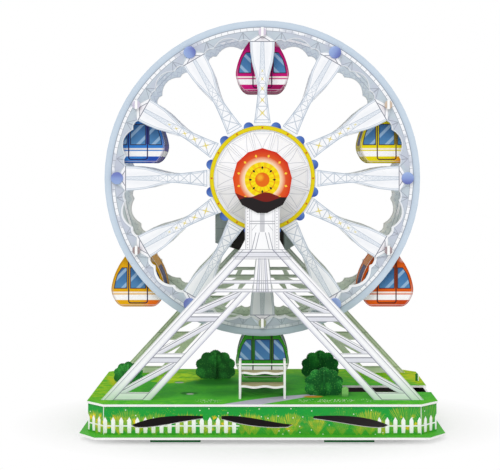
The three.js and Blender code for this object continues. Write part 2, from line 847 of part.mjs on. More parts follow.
const cabins = [
  { name: 'yellow', spoke: 1, color: 0xe6d700 },
  { name: 'magenta', spoke: 3, color: 0xbe005f },
  { name: 'blue', spoke: 5, color: 0x3c7dc8 },
  { name: 'gold', spoke: 7, color: 0xe1a50f },
  { name: 'green', spoke: 9, color: 0x3c9628 },
  { name: 'orange', spoke: 11, color: 0xcd5014 },
]

for (let i = 0; i < SPOKES; i += 2) {
  const place = onCircle(rodCircleRadius, i * spokePitch)
  add(`rim_spacer_${i / 2 + 1}`, spacer(), finishes.cap, place.x, 0, axisHeight + place.y)
}

// Cabins: two panels with a folded shell between them
function cabinOutline() {
  const curve = new THREE.SplineCurve(
    cabinShares.map(([x, z]) => spot((-x * CABIN_WIDTH) / 2, z * CABIN_HANG)),
  )
  return mirrored(curve.getPoints(CABIN_STEPS).map((p, k) => (k === 0 ? spot(0, p.y) : p)))
}

function cabinPanel(y) {
  return upright(cabinOutline(), [ring(PIN_RADIUS + RUNNING, HOLE_SIDES)], y, CABIN_PANEL)
}

function cabinShell() {
  const outer = inset(cabinOutline(), SHELL_INSET)
  const inner = inset(cabinOutline(), SHELL_INSET + SHELL_WALL)
  const half = CABIN_DEPTH / 2 - CABIN_PANEL
  return upright(outer, [inner], -half, 2 * half)
}

for (const { name, spoke, color } of cabins) {
  const place = onCircle(rodCircleRadius, spoke * spokePitch)
  const at = [place.x, 0, axisHeight + place.y]
  const paint = finish(color, 0.45)
  const reach = spokesOuter + PIN_PROUD
  add(`${name}_cabin_pin`, rod(PIN_RADIUS, -reach, reach, HOLE_SIDES), finishes.wood, ...at)
  add(`${name}_cabin_front`, cabinPanel(-CABIN_DEPTH / 2), paint, ...at)
  add(`${name}_cabin_rear`, cabinPanel(CABIN_DEPTH / 2 - CABIN_PANEL), paint, ...at)
  add(`${name}_cabin_shell`, cabinShell(), paint, ...at)
}

// Crank: a pinion on a shaft, an arm behind the rear frame, and a loose knob
const armFront = frameOuter + GAP + COLLAR_PLAY
const armBack = armFront + ARM_THICKNESS

function crankPinion() {
  const pinionFront = gearFront - (PINION_WIDTH - GEAR_WIDTH) / 2
  const shoulder = boxFront + BOARD + COLLAR_PLAY
  const collar = coverFront - COLLAR_PLAY
  const shaft = turned([
    [0, boxFront + GAP],
    [CRANK_STUB_RADIUS, boxFront + GAP],
    [CRANK_STUB_RADIUS, shoulder],
    [CRANK_SHAFT_RADIUS, shoulder],
    [CRANK_SHAFT_RADIUS, collar - COLLAR_WIDTH],
    [CRANK_COLLAR_RADIUS, collar - COLLAR_WIDTH],
    [CRANK_COLLAR_RADIUS, collar],
    [CRANK_SHAFT_RADIUS, collar],
    [CRANK_SHAFT_RADIUS, armBack],
    [0, armBack],
  ])
  const teeth = upright(gearOutline(PINION_TEETH, CRANK_BEARING_DEG + 180), [], pinionFront, PINION_WIDTH)
  return geometryOf(solid(shaft).add(solid(teeth)))
}

function crankArm() {
  const half = ARM_WIDTH / 2
  const outline = [...halfCircle(half, 90), ...halfCircle(half, -90, CRANK_LENGTH)]
  const bar = upright(outline, [ring(CRANK_SHAFT_RADIUS + GAP, ROD_SIDES)], armFront, ARM_THICKNESS)
  const knobBack = armBack + GAP + KNOB_LENGTH
  const pin = turned([
    [0, armBack - OVERRUN],
    [KNOB_PIN_RADIUS, armBack - OVERRUN],
    [KNOB_PIN_RADIUS, knobBack + GAP],
    [KNOB_HEAD_RADIUS, knobBack + GAP],
    [KNOB_HEAD_RADIUS, knobBack + GAP + KNOB_HEAD_THICKNESS],
    [0, knobBack + GAP + KNOB_HEAD_THICKNESS],
  ]).translate(CRANK_LENGTH, 0, 0)
  return geometryOf(solid(bar).add(solid(pin)))
}

function crankKnob() {
  const y0 = armBack + GAP
  const y1 = y0 + KNOB_LENGTH
  const bore = KNOB_PIN_RADIUS + RUNNING
  return turned([
    [bore, y0],
    [KNOB_RADIUS - KNOB_EDGE, y0],
    [KNOB_RADIUS, y0 + KNOB_LENGTH / 4],
    [KNOB_RADIUS, y1 - KNOB_EDGE],
    [KNOB_RADIUS - KNOB_EDGE, y1],
    [bore, y1],
    [bore, y0],
  ])
}

add('crank_pinion', crankPinion(), finishes.gear, crankX, 0, axisHeight + crankZ)
add('crank_arm', crankArm(), finishes.crank, crankX, 0, axisHeight + crankZ)
add('crank_knob', crankKnob(), finishes.knob, crankX + CRANK_LENGTH, 0, axisHeight + crankZ)

export default model
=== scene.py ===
"""Looks of a foam-board ferris wheel kit: printed boards, turned pieces, cabins, lamp and camera."""

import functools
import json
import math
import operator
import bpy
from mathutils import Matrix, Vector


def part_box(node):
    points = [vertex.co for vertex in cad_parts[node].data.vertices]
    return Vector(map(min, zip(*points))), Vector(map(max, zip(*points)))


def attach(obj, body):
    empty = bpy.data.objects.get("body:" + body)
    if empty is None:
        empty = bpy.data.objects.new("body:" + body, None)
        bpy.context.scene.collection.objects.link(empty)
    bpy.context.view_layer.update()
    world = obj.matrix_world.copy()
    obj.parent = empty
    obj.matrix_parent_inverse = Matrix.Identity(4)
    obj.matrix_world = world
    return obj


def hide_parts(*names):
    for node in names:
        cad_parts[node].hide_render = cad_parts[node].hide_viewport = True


bl_info = {
    "name": "Foam-board Ferris Wheel",
    "version": (1, 0, 0),
    "blender": (4, 5, 0),
    "location": "3D View > Sidebar > Wheel Kit",
    "description": "Prints the boards of a ferris wheel kit, adds its small pieces and lights it",
    "category": "Object",
}

import bpy
from bpy.props import FloatProperty, FloatVectorProperty, PointerProperty
from mathutils import Vector
from mathutils.geometry import tessellate_polygon

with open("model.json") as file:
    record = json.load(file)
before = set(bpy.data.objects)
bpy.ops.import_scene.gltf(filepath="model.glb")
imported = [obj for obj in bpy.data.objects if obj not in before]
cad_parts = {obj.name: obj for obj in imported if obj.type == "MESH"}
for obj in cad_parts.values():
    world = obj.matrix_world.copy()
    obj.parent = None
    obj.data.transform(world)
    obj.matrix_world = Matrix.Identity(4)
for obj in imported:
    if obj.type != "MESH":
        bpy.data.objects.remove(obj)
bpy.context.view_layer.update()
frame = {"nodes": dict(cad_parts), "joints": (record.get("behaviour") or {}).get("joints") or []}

MM = 0.001
PER_MM = 1000
SPOKES = 12
PITCH = 2 * math.pi / SPOKES
CABIN_NAMES = ("yellow", "magenta", "blue", "gold", "green", "orange")
KEY_ANGLES = (48, -14, 0)
RAY_KINDS = ("Camera", "Glossy", "Transmission")
BOARD_SHEEN = 0.14
JOINTS = {joint["name"]: joint for joint in frame["joints"]}


def joint_place(name):
    """Where a joint's axis stands, in millimetres across and up."""
    x, _, z = JOINTS[name]["pos_m"]
    return x * PER_MM, z * PER_MM


def millimetres(node):
    """A CAD node's lowest and highest corner in millimetres."""
    low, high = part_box(node)
    return low * PER_MM, high * PER_MM


AXIS_HEIGHT = joint_place("wheel_spin")[1]
LAWN_TOP = millimetres("top_plate")[1].z
AXIS_RISE = AXIS_HEIGHT - LAWN_TOP
RIM_RADIUS = millimetres("front_rim")[1].x
FOOT_HALF = millimetres("front_frame")[1].x


def linear(level):
    """One 0-255 display level as a linear value."""
    share = level / 255
    if share <= 0.04045:
        return share / 12.92
    return ((share + 0.055) / 1.055) ** 2.4


def tone(red, green, blue):
    """A colour from its 0-255 display levels."""
    return tuple(linear(level) for level in (red, green, blue))


def blend(share, under, over):
    """A colour part of the way from one to another."""
    return tuple(low + (high - low) * share for low, high in zip(under, over))


def colour_of(name, description, *levels):
    """A colour setting from its display levels."""
    return FloatVectorProperty(
        name=name, description=description, subtype="COLOR", size=3, min=0, max=1, default=tone(*levels)
    )


def length_of(name, description, size):
    """A length setting from its size in millimetres."""
    return FloatProperty(name=name, description=description, unit="LENGTH", min=0, default=size * MM)


class BoardSettings(bpy.types.PropertyGroup):
    """What every piece of foam board has in common."""

    foam: colour_of("Foam", "Bare foam on the cut edges", 247, 247, 245)
    # The inner tint is a painted green reflection of the lawn on the shaded inner faces.
    inner: colour_of("Inner face", "Tint of the boards' inner faces", 222, 232, 208)
    # The hollow colour is painted shade, given to the faces inside the base where only shade falls.
    hollow: colour_of("Hollow", "Unlit faces inside the base", 44, 41, 42)
    # A painted glow: the dim light inside the hollow, given as emission so that the hollow is not pure
    # black.
    hollow_glow: colour_of("Murk", "Glow that keeps the hollow from pure black", 31, 27, 28)
    line: colour_of("Line", "Grey printed lines", 124, 126, 140)
    bead: length_of("Bead", "Width of one bead of the foam", 0.9)
    grain: length_of("Grain", "Width of the paper's grain", 0.35)


class WheelSettings(bpy.types.PropertyGroup):
    """Colours of the rims, spokes and hub."""

    paper: colour_of("Paper", "White ground of the spokes", 250, 251, 254)
    rim: colour_of("Rim", "Outer band of the rims", 203, 217, 231)
    web: colour_of("Web", "Ground between the rims' bands", 201, 212, 220)
    truss: colour_of("Truss", "Pale lines of the spokes", 170, 184, 200)
    chord: colour_of("Chord", "Dark lines of the brackets", 120, 124, 138)
    cross: colour_of("Cross", "Crosses on the spokes that carry cabins", 232, 214, 110)
    hub: colour_of("Hub", "Ring round the hub", 234, 214, 8)
    dot: colour_of("Dot", "Dots on the hub ring", 200, 84, 36)
    lobe: colour_of("Lobe", "Half-round lobes of the hub ring", 92, 132, 204)
    cap: colour_of("Cap", "Round caps on the rims", 118, 136, 202)


class BaseSettings(bpy.types.PropertyGroup):
    """Colours of the lawn, its walls and its trees."""

    lawn: colour_of("Lawn", "Middle green of the lawn", 62, 178, 50)
    deep: colour_of("Shade", "Dark green of the lawn", 42, 156, 52)
    lime: colour_of("Lime", "Sunny patches of the lawn", 164, 204, 14)
    path: colour_of("Path", "The garden path", 176, 174, 190)
    sand: colour_of("Sand", "Orange patch at the end of the path", 206, 146, 50)
    wall: colour_of("Wall", "Ground of the walls", 34, 160, 56)
    picket: colour_of("Picket", "The picket fence", 252, 253, 252)
    blade: colour_of("Blade", "Tall grass on the walls", 168, 196, 52)
    flower: colour_of("Flower", "Small flowers on the walls", 242, 190, 20)
    leaf: colour_of("Leaf", "Middle green of the trees", 40, 138, 54)


class StageSettings(bpy.types.PropertyGroup):
    """Camera, lamp and floor."""

    lens: FloatProperty(name="Lens", description="Focal length", unit="CAMERA", default=70.06)
    sensor: FloatProperty(name="Sensor", description="Width of the sensor", unit="CAMERA", default=36)
    shift_x: FloatProperty(name="Shift X", description="Sideways shift of the frame", default=-0.026)
    shift_y: FloatProperty(name="Shift Y", description="Upward shift of the frame", default=-0.134)
    distance: length_of("Distance", "From the object's middle to the camera", 925)
    height: length_of("Height", "Height of the camera", 239.7)
    aside: length_of("Aside", "How far right the camera stands", 0.6)
    floor_radius: length_of("Floor", "Radius of the floor", 3000)
    fade_start: length_of("Fade start", "Where the floor starts to fade to white", 150)
    fade_end: length_of("Fade end", "Where the floor is plain white", 215)
    sky: FloatProperty(name="Sky", description="Brightness of the surroundings", default=0.72)
    key: FloatProperty(name="Key", description="Strength of the key lamp", default=1.0)
    key_softness: FloatProperty(name="Key softness", description="Angle of the key lamp", default=0.6)


class KitSettings(bpy.types.PropertyGroup):
    board: PointerProperty(type=BoardSettings)
    wheel: PointerProperty(type=WheelSettings)
    base: PointerProperty(type=BaseSettings)
    stage: PointerProperty(type=StageSettings)


def settings():
    return bpy.context.scene.wheel_kit


class Socket:
    """An output socket of a material. Python's operators on it add Math nodes.

    Masks are values from 0 to 1: ~ turns one round, | takes the larger and & the smaller of two.
    """

    def __init__(self, paint, socket):
        self.paint = paint
        self.socket = socket

    def __add__(self, other):
        return self.paint.maths("ADD", self, other)

    def __radd__(self, other):
        return self.paint.maths("ADD", other, self)

    def __sub__(self, other):
        return self.paint.maths("SUBTRACT", self, other)

    def __rsub__(self, other):
        return self.paint.maths("SUBTRACT", other, self)

    def __mul__(self, other):
        return self.paint.maths("MULTIPLY", self, other)

    def __rmul__(self, other):
        return self.paint.maths("MULTIPLY", other, self)

    def __truediv__(self, other):
        return self.paint.maths("DIVIDE", self, other)

    def __rtruediv__(self, other):
        return self.paint.maths("DIVIDE", other, self)

    def __mod__(self, other):
        return self.paint.maths("FLOORED_MODULO", self, other)

    def __or__(self, other):
        return self.paint.maths("MAXIMUM", self, other)

    def __and__(self, other):
        return self.paint.maths("MINIMUM", self, other)

    def __invert__(self):
        return 1 - self

    def __neg__(self):
        return self * -1

    def __abs__(self):
        return self.paint.maths("ABSOLUTE", self)

    def past(self, edge, soft=0.15):
        """A mask that rises from 0 to 1 where the value passes the edge."""
        return self.paint.add("ShaderNodeMapRange", inputs={0: (self - edge) / soft, 1: -1, 2: 1})

    def between(self, low, high, soft=0.15):
        """A mask of the values between low and high."""
        return self.past(low, soft) * ~self.past(high, soft)

    def stripe(self, middle, half, soft=0.15):
        """A mask of a line round a middle value."""
        return ~abs(self - middle).past(half, soft)

    def tube(self, low, high):
        """The shading of a printed tube: none along its lit side and full at both edges."""
        off_centre = abs(self - (low * 0.62 + high * 0.38)) / ((high - low) * 0.56)
        return ((off_centre * off_centre) & 1) * self.between(low, high, 0.3)

    def mix(self, under, over):
        """A colour that goes from one to another as the value goes from 0 to 1."""
        return self.paint.add("ShaderNodeMix", {"data_type": "RGBA"}, {0: self, 6: under, 7: over}, 2)

    def curve(self, stops, interpolation="LINEAR"):
        """A curve through stops of place and level."""
        ramp = self.paint.add("ShaderNodeValToRGB", inputs={0: self})
        band = ramp.socket.node.color_ramp
        band.interpolation = interpolation
        while len(band.elements) < len(stops):
            band.elements.new(1)
        for element, (position, level) in zip(band.elements, stops):
            element.position = position
            element.color = (level, level, level, 1)
        return ramp


def any_of(*masks):
    """The union of masks."""
    return functools.reduce(operator.or_, masks)


class Paint:
    """A material, or a world, and the nodes that colour it. Places are in millimetres."""

    def __init__(self, name, kind="materials"):
        self.material = getattr(bpy.data, kind).new(name)
        self.material.use_nodes = True
        self.tree = self.material.node_tree
        self.tree.nodes.clear()

    def add(self, kind, options=None, inputs=None, output=0):
        """Adds a node, sets its options, then fills or links its sockets."""
        node = self.tree.nodes.new(kind)
        for key, value in (options or {}).items():
            setattr(node, key, value)
        for key, value in (inputs or {}).items():
            self.plug(node.inputs[key], value)
        return Socket(self, node.outputs[output]) if node.outputs else None

    def plug(self, target, value):
        """Links a socket to a target, or sets the target's own value."""
        if isinstance(value, Socket):
            self.tree.links.new(value.socket, target)
            return
        if hasattr(value, "__len__"):
            missing = len(target.default_value) - len(value)
            value = (*value, *(1,) * missing)
        target.default_value = value

    def maths(self, operation, *values):
        """A Math node on one, two or three values."""
        return self.add("ShaderNodeMath", {"operation": operation}, dict(enumerate(values)))

    def vector(self, operation, *values):
        """A Vector Math node on vectors."""
        return self.add("ShaderNodeVectorMath", {"operation": operation}, dict(enumerate(values)))

    def parts(self, vector):
        """The three numbers of a vector."""
        split = self.add("ShaderNodeSeparateXYZ", inputs={0: vector})
        return [Socket(self, output) for output in split.socket.node.outputs]

    def point(self, x, y, z=0):
        """A vector of three numbers."""
        return self.add("ShaderNodeCombineXYZ", inputs={0: x, 1: y, 2: z})

    @functools.cached_property
    def place(self):
        """The place on the piece at rest."""
        return self.stretched(PER_MM, PER_MM, PER_MM, self.add("ShaderNodeTexCoord", output="Object"))

    @functools.cached_property
    def axes(self):
        """The place's x, y and z."""
        return self.parts(self.place)

    @functools.cached_property
    def facing(self):
        """The x, y and z of the direction in which the surface faces on the piece at rest."""
        return self.parts(self.add("ShaderNodeTexCoord", output="Normal"))

    def sides(self, axis, edge=0.5):
        """Masks of the faces that look down an axis and of those that look up it."""
        along = self.facing[axis]
        return (-along).past(edge), along.past(edge)

    def stretched(self, x, y, z, place=None):
        """A place drawn out or pressed together along each axis."""
        return self.vector("MULTIPLY", place or self.place, (x, y, z))

    def disc(self, x, y, centre, radius, soft=0.15, squash=1):
        """A mask of a round spot, or of an oval one where squash isn't 1."""
        return ~self.length(x - centre[0], (y - centre[1]) * squash).past(radius, soft)

    def length(self, x, y):
        """The length of a two-dimensional vector."""
        return self.maths("SQRT", x * x + y * y)

    def seen_rays(self):
        """A mask of the rays that show the background: straight, mirrored or let through."""
        return any_of(*(self.add("ShaderNodeLightPath", output=f"Is {kind} Ray") for kind in RAY_KINDS))

    def layers(self, ground, *coats):
        """A ground colour with masked coats over it, each a mask and a colour."""
        for mask, colour in coats:
            ground = mask.mix(ground, colour)
        return ground

    def noise(self, size, detail=2, roughness=0.5, place=None):
        """Cloudy noise whose lumps have a given size."""
        return self.add(
            "ShaderNodeTexNoise",
            inputs={
                "Vector": place or self.place,
                "Scale": 1 / size,
                "Detail": detail,
                "Roughness": roughness,
            },
        )

    def cells(self, size, output=0, dimensions="3D", place=None):
        """Cells of a given size: the distance to the nearest centre, or the cell's own colour."""
        return self.add(
            "ShaderNodeTexVoronoi",
            {"voronoi_dimensions": dimensions},
            {"Vector": place or self.place, "Scale": 1 / size},
            output,
        )

    def finish(self, colour, roughness, height, strength, distance, **plain):
        """Ends the material with a plain shader, bent by a height in millimetres."""
        inputs = {"Height": height, "Strength": strength, "Distance": distance * MM}
        inputs = {
            "Base Color": colour,
            "Roughness": roughness,
            "Normal": self.add("ShaderNodeBump", inputs=inputs),
            **{key.replace("_", " "): value for key, value in plain.items()},
        }
        shader = self.add("ShaderNodeBsdfPrincipled", inputs=inputs)
        self.add("ShaderNodeOutputMaterial", inputs={0: shader})
        return self.material

    def board(self, printed, faces=None, dull=0, **plain):
        """Print on a board, and bare foam with its beads outside a mask of the printed faces."""
        look = settings().board
        grain = self.noise(look.grain * PER_MM, 3)
        mottle = self.noise(18)
        colour = (mottle * grain * 0.12).mix(printed, tone(40, 44, 44))
        gloss = 0.38 - dull - grain * 0.1 - mottle * 0.06
        height = grain * 0.06
        if faces:
            bead = self.cells(look.bead * PER_MM)
            foam = (bead * 0.35).mix(look.foam, tone(214, 214, 212))
            colour = faces.mix(foam, colour)
            gloss = faces * gloss
            height = ~faces * bead * 0.6 + height
        return self.finish(colour, 0.85 - gloss, height, 0.35, 0.5, Specular_IOR_Level=BOARD_SHEEN, **plain)

    def upright_board(self, side, printed, inner):
        """A board that shows its print to the front (side -1) or the rear (side 1)."""
        hidden, shown = self.sides(1)[::side]
        return self.board(shown.mix(inner, printed), shown + hidden)


def hollow_glow(mask):
    """A faint painted glow on the hollow's faces, for a shader's emission: it stands in for the dim light
    that gets in through the cut-outs.
    """
    glow = mask.mix(tone(0, 0, 0), settings().board.hollow_glow)
    return {"Emission_Color": glow, "Emission_Strength": 1}


def dress(material, *nodes):
    """Gives CAD nodes a material."""
    for name in nodes:
        slots = frame["nodes"][name].data.materials
        slots.clear()
        slots.append(material)


def mesh_of(name, shape, material):
    """A mesh from vertices in millimetres and faces."""
    verts, faces = shape
    mesh = bpy.data.meshes.new(name)
    mesh.from_pydata([[value * MM for value in vert] for vert in verts], [], faces)
    mesh.materials.append(material)
    return mesh


def piece(name, shape, material, body, slot, *replaced, smooth=True):
    """A new piece riding on a body, in place of CAD nodes where it replaces any."""
    mesh = mesh_of(name, shape, material)
    mesh.validate()
    if smooth:
        mesh.shade_smooth()
        mesh.set_sharp_from_angle(angle=math.radians(32))
    made = bpy.data.objects.new(name, mesh)
    bpy.context.scene.collection.objects.link(made)
    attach(made, body)
    if replaced:
        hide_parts(*replaced)


def merge(*shapes):
    """Several shapes as one list of vertices and one of faces."""
    verts = []
    faces = []
    for more_verts, more_faces in shapes:
        start = len(verts)
        verts.extend(more_verts)
        faces.extend([index + start for index in face] for face in more_faces)
    return verts, faces


def moved(points, centre):
    """Points round a centre."""
    return [(centre[0] + x, centre[1] + z) for x, z in points]


def middle_of(low, high):
    """The middle of a box, across and up."""
    return (low.x + high.x) / 2, (low.z + high.z) / 2


def turning_area(loop):
    """Twice the area of a loop, positive where it runs counter-clockwise."""
    after = loop[1:] + loop[:1]
    return sum(a[0] * b[1] - b[0] * a[1] for a, b in zip(loop, after))


def slab(outline, holes, low, high, plane="XZ"):
    """A flat sheet with holes. Its outline lies in a plane, and low and high are its two faces."""
    upturned = plane == "XZ"
    loops = []
    for loop, is_hole in [(outline, False), *((hole, True) for hole in holes)]:
        clockwise = turning_area(loop) < 0
        loops.append(loop[::-1] if clockwise != is_hole else list(loop))
    flat = [point for loop in loops for point in loop]
    count = len(flat)
    verts = [(u, depth, v) if upturned else (depth, u, v) for depth in (low, high) for u, v in flat]
    faces = []
    for a, b, c in tessellate_polygon([[Vector((u, v, 0)) for u, v in loop] for loop in loops]):
        if turning_area([flat[a], flat[b], flat[c]]) < 0:
            b, c = c, b
        under = (a, b, c) if upturned else (c, b, a)
        faces.append(under)
        faces.append(tuple(index + count for index in reversed(under)))
    start = 0
    for loop in loops:
        size = len(loop)
        for index in range(size):
            here = start + index
            there = start + (index + 1) % size
            side = (here, there, there + count, here + count)
            faces.append(side[::-1] if upturned else side)
        start += size
    return verts, faces


def skin(rings):
    """Faces that join each ring of points to the next, with one over either end."""
    size = len(rings[0])
    last = size * (len(rings) - 1)
    faces = [range(size)[::-1], range(last, last + size)]
    for start in range(0, last, size):
        for index in range(size):
            here = start + index
            there = start + (index + 1) % size
            faces.append((here, there, there + size, here + size))
    return [point for ring in rings for point in ring], faces


def turned(profile, centre, sides=40):
    """A turned shape on an axis along Y, from a profile of radius and y that ends on the axis."""
    rings = []
    verts = []
    for radius, depth in profile:
        if radius == 0:
            rings.append([len(verts)] * sides)
            verts.append((centre[0], depth, centre[1]))
            continue
        rings.append(list(range(len(verts), len(verts) + sides)))
        verts += [(x, depth, z) for x, z in circle(radius, centre, sides)]
    faces = []
    for near, far in zip(rings, rings[1:]):
        for index in range(sides):
            after = (index + 1) % sides
            corners = [near[index], near[after], far[after], far[index]]
            face = [corner for place, corner in enumerate(corners) if corner not in corners[:place]]
            if len(face) > 2:
                faces.append(face[::-1])
    return verts, faces


def circle(radius, centre=(0, 0), sides=32, start=0, sweep=2 * math.pi):
    """Points on a circle, or on an arc of it with both its ends."""
    whole = sweep == 2 * math.pi
    count = sides if whole else sides + 1
    turns = [start + sweep * index / sides for index in range(count)]
    return [(centre[0] + radius * math.cos(turn), centre[1] + radius * math.sin(turn)) for turn in turns]


def smooth_curve(points, steps):
    """A curve through points, with steps in each stretch."""
    padded = [Vector(point) for point in (points[0], *points, points[-1])]
    curve = []
    for before, start, end, after in zip(padded, padded[1:], padded[2:], padded[3:]):
        leave = (end - before) / 2
        arrive = (after - start) / 2
        chord = end - start
        for index in range(steps):
            t = index / steps
            point = start + leave * t + (3 * chord - 2 * leave - arrive) * t**2
            curve.append(tuple(point + (leave + arrive - 2 * chord) * t**3))
    return [*curve, points[-1]]


# Base: lawn, plates, walls and trees
WALL_STRAIGHT = 138.9
CHAMFER_STRETCH = 1.278
HOLLOW_HALF = 152.5
HOLLOW_DEPTH = 72.2
HOLLOW_CHAMFER = 143
CHAMFER_SIDE = (0.623, 0.782)
PICKET_PITCH = 7.05
PICKET_HALF = 1.75
PICKET_TOP = 21.9
PICKET_FOOT = 8
RAIL_HEIGHT = 14.2
WALL_FOOT = 6.7
FENCE_LEFT = (-190, -20)
FENCE_RIGHT = (101, 190)


def grass(paint, light, shade):
    """A mown green with light and dark patches and fine blades."""
    patches = paint.noise(24, 3, 0.6)
    tufts = paint.noise(5, 4, 0.7)
    blades = paint.noise(0.9, place=paint.stretched(1, 0.3, 0.3))
    ground = (patches + tufts * 0.4).past(0.66, 0.14).mix(shade, light)
    return (blades * tufts * 0.6).mix(ground, tone(120, 200, 40))


def lawn_print(paint):
    """The garden on the top plate, with painted shadows by the trees, under the wheel and round the stones.
    """
    look = settings().base
    x, y, _ = paint.axes
    waves = paint.noise(14, 3) - 0.5
    dapple = paint.noise(4.5, 4, 0.6, place=paint.stretched(0.5, 1, 1))
    bright = dapple.past(0.5, 0.16)
    ground = grass(paint, look.lawn, look.deep)
    left = (-x + waves * 34).past(132, 10)
    right = (x * 0.5 + y + waves * 60).past(78, 26)
    rear = (y + abs(x + 64) * -0.2 + waves * 44).past(38, 10)
    near_leg = (x * 0.7 - y + waves * 16).past(172, 6)
    glade = paint.disc(x + waves * 34, y + waves * 40, (-83, 32), 21, 8, 1.3)
    daylight = left | right | rear * 0.8 | near_leg | glade
    gold = (x * 0.7 + y * 0.5 + waves * 70).past(118, 16) * dapple.past(0.42, 0.12)
    streak = paint.disc(x + y * 0.35 + waves * 6, y, (-139, 14), 3.4, 2, 0.16)
    gold = gold | streak * 0.9
    front_glow = (-y + waves * 10).past(54, 12) * 0.85
    # Painted shadows on the lawn, by the trees and under the wheel.
    cast_shadows = paint.disc(x + waves * 24, y, (56, -38), 22, 8, 1.6) * 0.8
    cast_shadows = cast_shadows | paint.disc(x + waves * 20, y, (-46, 14), 26, 10, 1.7)
    cast_shadows = cast_shadows | paint.disc(x + waves * 20, y, (0, -16), 22, 6, 1.2) * 0.9
    cast_shadows = cast_shadows | paint.disc(x + waves * 24, y, (-38, -32), 17, 9) * 0.75
    run = x - 2.4
    path_rear = run * 0.5 - run * run * 0.0033 - 51.6
    path_front = x * 0.7 - 74.9
    path = (y + waves * 2).past(path_front, 0.8) * ~(y + waves * 2).past(path_rear, 0.8)
    path = path * ~x.past(50, 1)
    dust = paint.noise(3, 4).mix(look.path, tone(198, 196, 210))
    sand = paint.disc(x + waves * 6, y, (46, -46), 9, 1.2, 2.4)
    stones = (
        paint.disc(x, y + waves * 4, (-80, 12), 4.2, 0.6, 1.6)
        | paint.disc(x, y + waves * 4, (-66, -36), 3.4, 0.6, 1.3)
    )
    # Painted shadow round the stones.
    stone_shadows = paint.disc(x, y + waves * 4, (-67, -33), 8, 1.4, 1.3)
    daisies = paint.cells(2.6, dimensions="2D")
    verge = (y + waves * 6).between(-67, -56, 1) * paint.noise(13).past(0.47, 0.04)
    verge = verge * (x.between(20, 96, 5) | x.between(-58, -38, 3) * 0.7)
    flowers = ~daisies.past(0.2, 0.06) * verge
    return paint.layers(
        ground,
        (cast_shadows * 0.85, dapple.mix(tone(20, 96, 28), tone(34, 128, 38))),
        (daylight * 0.95, bright.mix(tone(70, 178, 20), look.lime)),
        (gold * 0.85, tone(200, 206, 0)),
        (glade * dapple.past(0.44, 0.08), tone(184, 226, 26)),
        (front_glow, bright.mix(tone(50, 168, 34), tone(104, 200, 44))),
        (path, dust),
        (sand, look.sand),
        (stone_shadows * 0.7, tone(20, 92, 30)),
        (stones, tone(176, 184, 174)),
        (flowers, tone(246, 250, 236)),
    )


def under_lawn(x, y):
    """A mask of the bottom plate inside the walls."""
    within = x.between(-HOLLOW_HALF, HOLLOW_HALF, 0.4) * y.between(-HOLLOW_DEPTH, HOLLOW_DEPTH, 0.4)
    return within * ~(abs(x) * CHAMFER_SIDE[0] + abs(y) * CHAMFER_SIDE[1]).past(HOLLOW_CHAMFER, 0.4)


def tuft(paint, along, z, spacing, height, seed):
    """Fans of grass blades that stand at uneven places along a wall."""
    cell = paint.maths("FLOOR", along / spacing)
    lot = paint.add("ShaderNodeTexWhiteNoise", {"noise_dimensions": "1D"}, {"W": cell + seed}, "Color")
    shift, size, chance = paint.parts(lot)
    across = along - (cell + 0.3 + shift * 0.4) * spacing
    up = z - WALL_FOOT + 1
    spread = paint.maths("ARCTAN2", across, up)
    comb = paint.add(
        "ShaderNodeTexNoise",
        {"noise_dimensions": "1D"},
        {"W": spread * 9 + cell * 3.7, "Scale": 2.6, "Detail": 2},
    )
    reach = (size * 0.6 + 0.5 + comb * 0.5) * height
    inside = ~paint.length(across, up).past(reach, 1.2)
    blades = comb.past(0.5, 0.05) * ~abs(spread).past(0.62, 0.1)
    return blades * inside * chance.past(0.24)


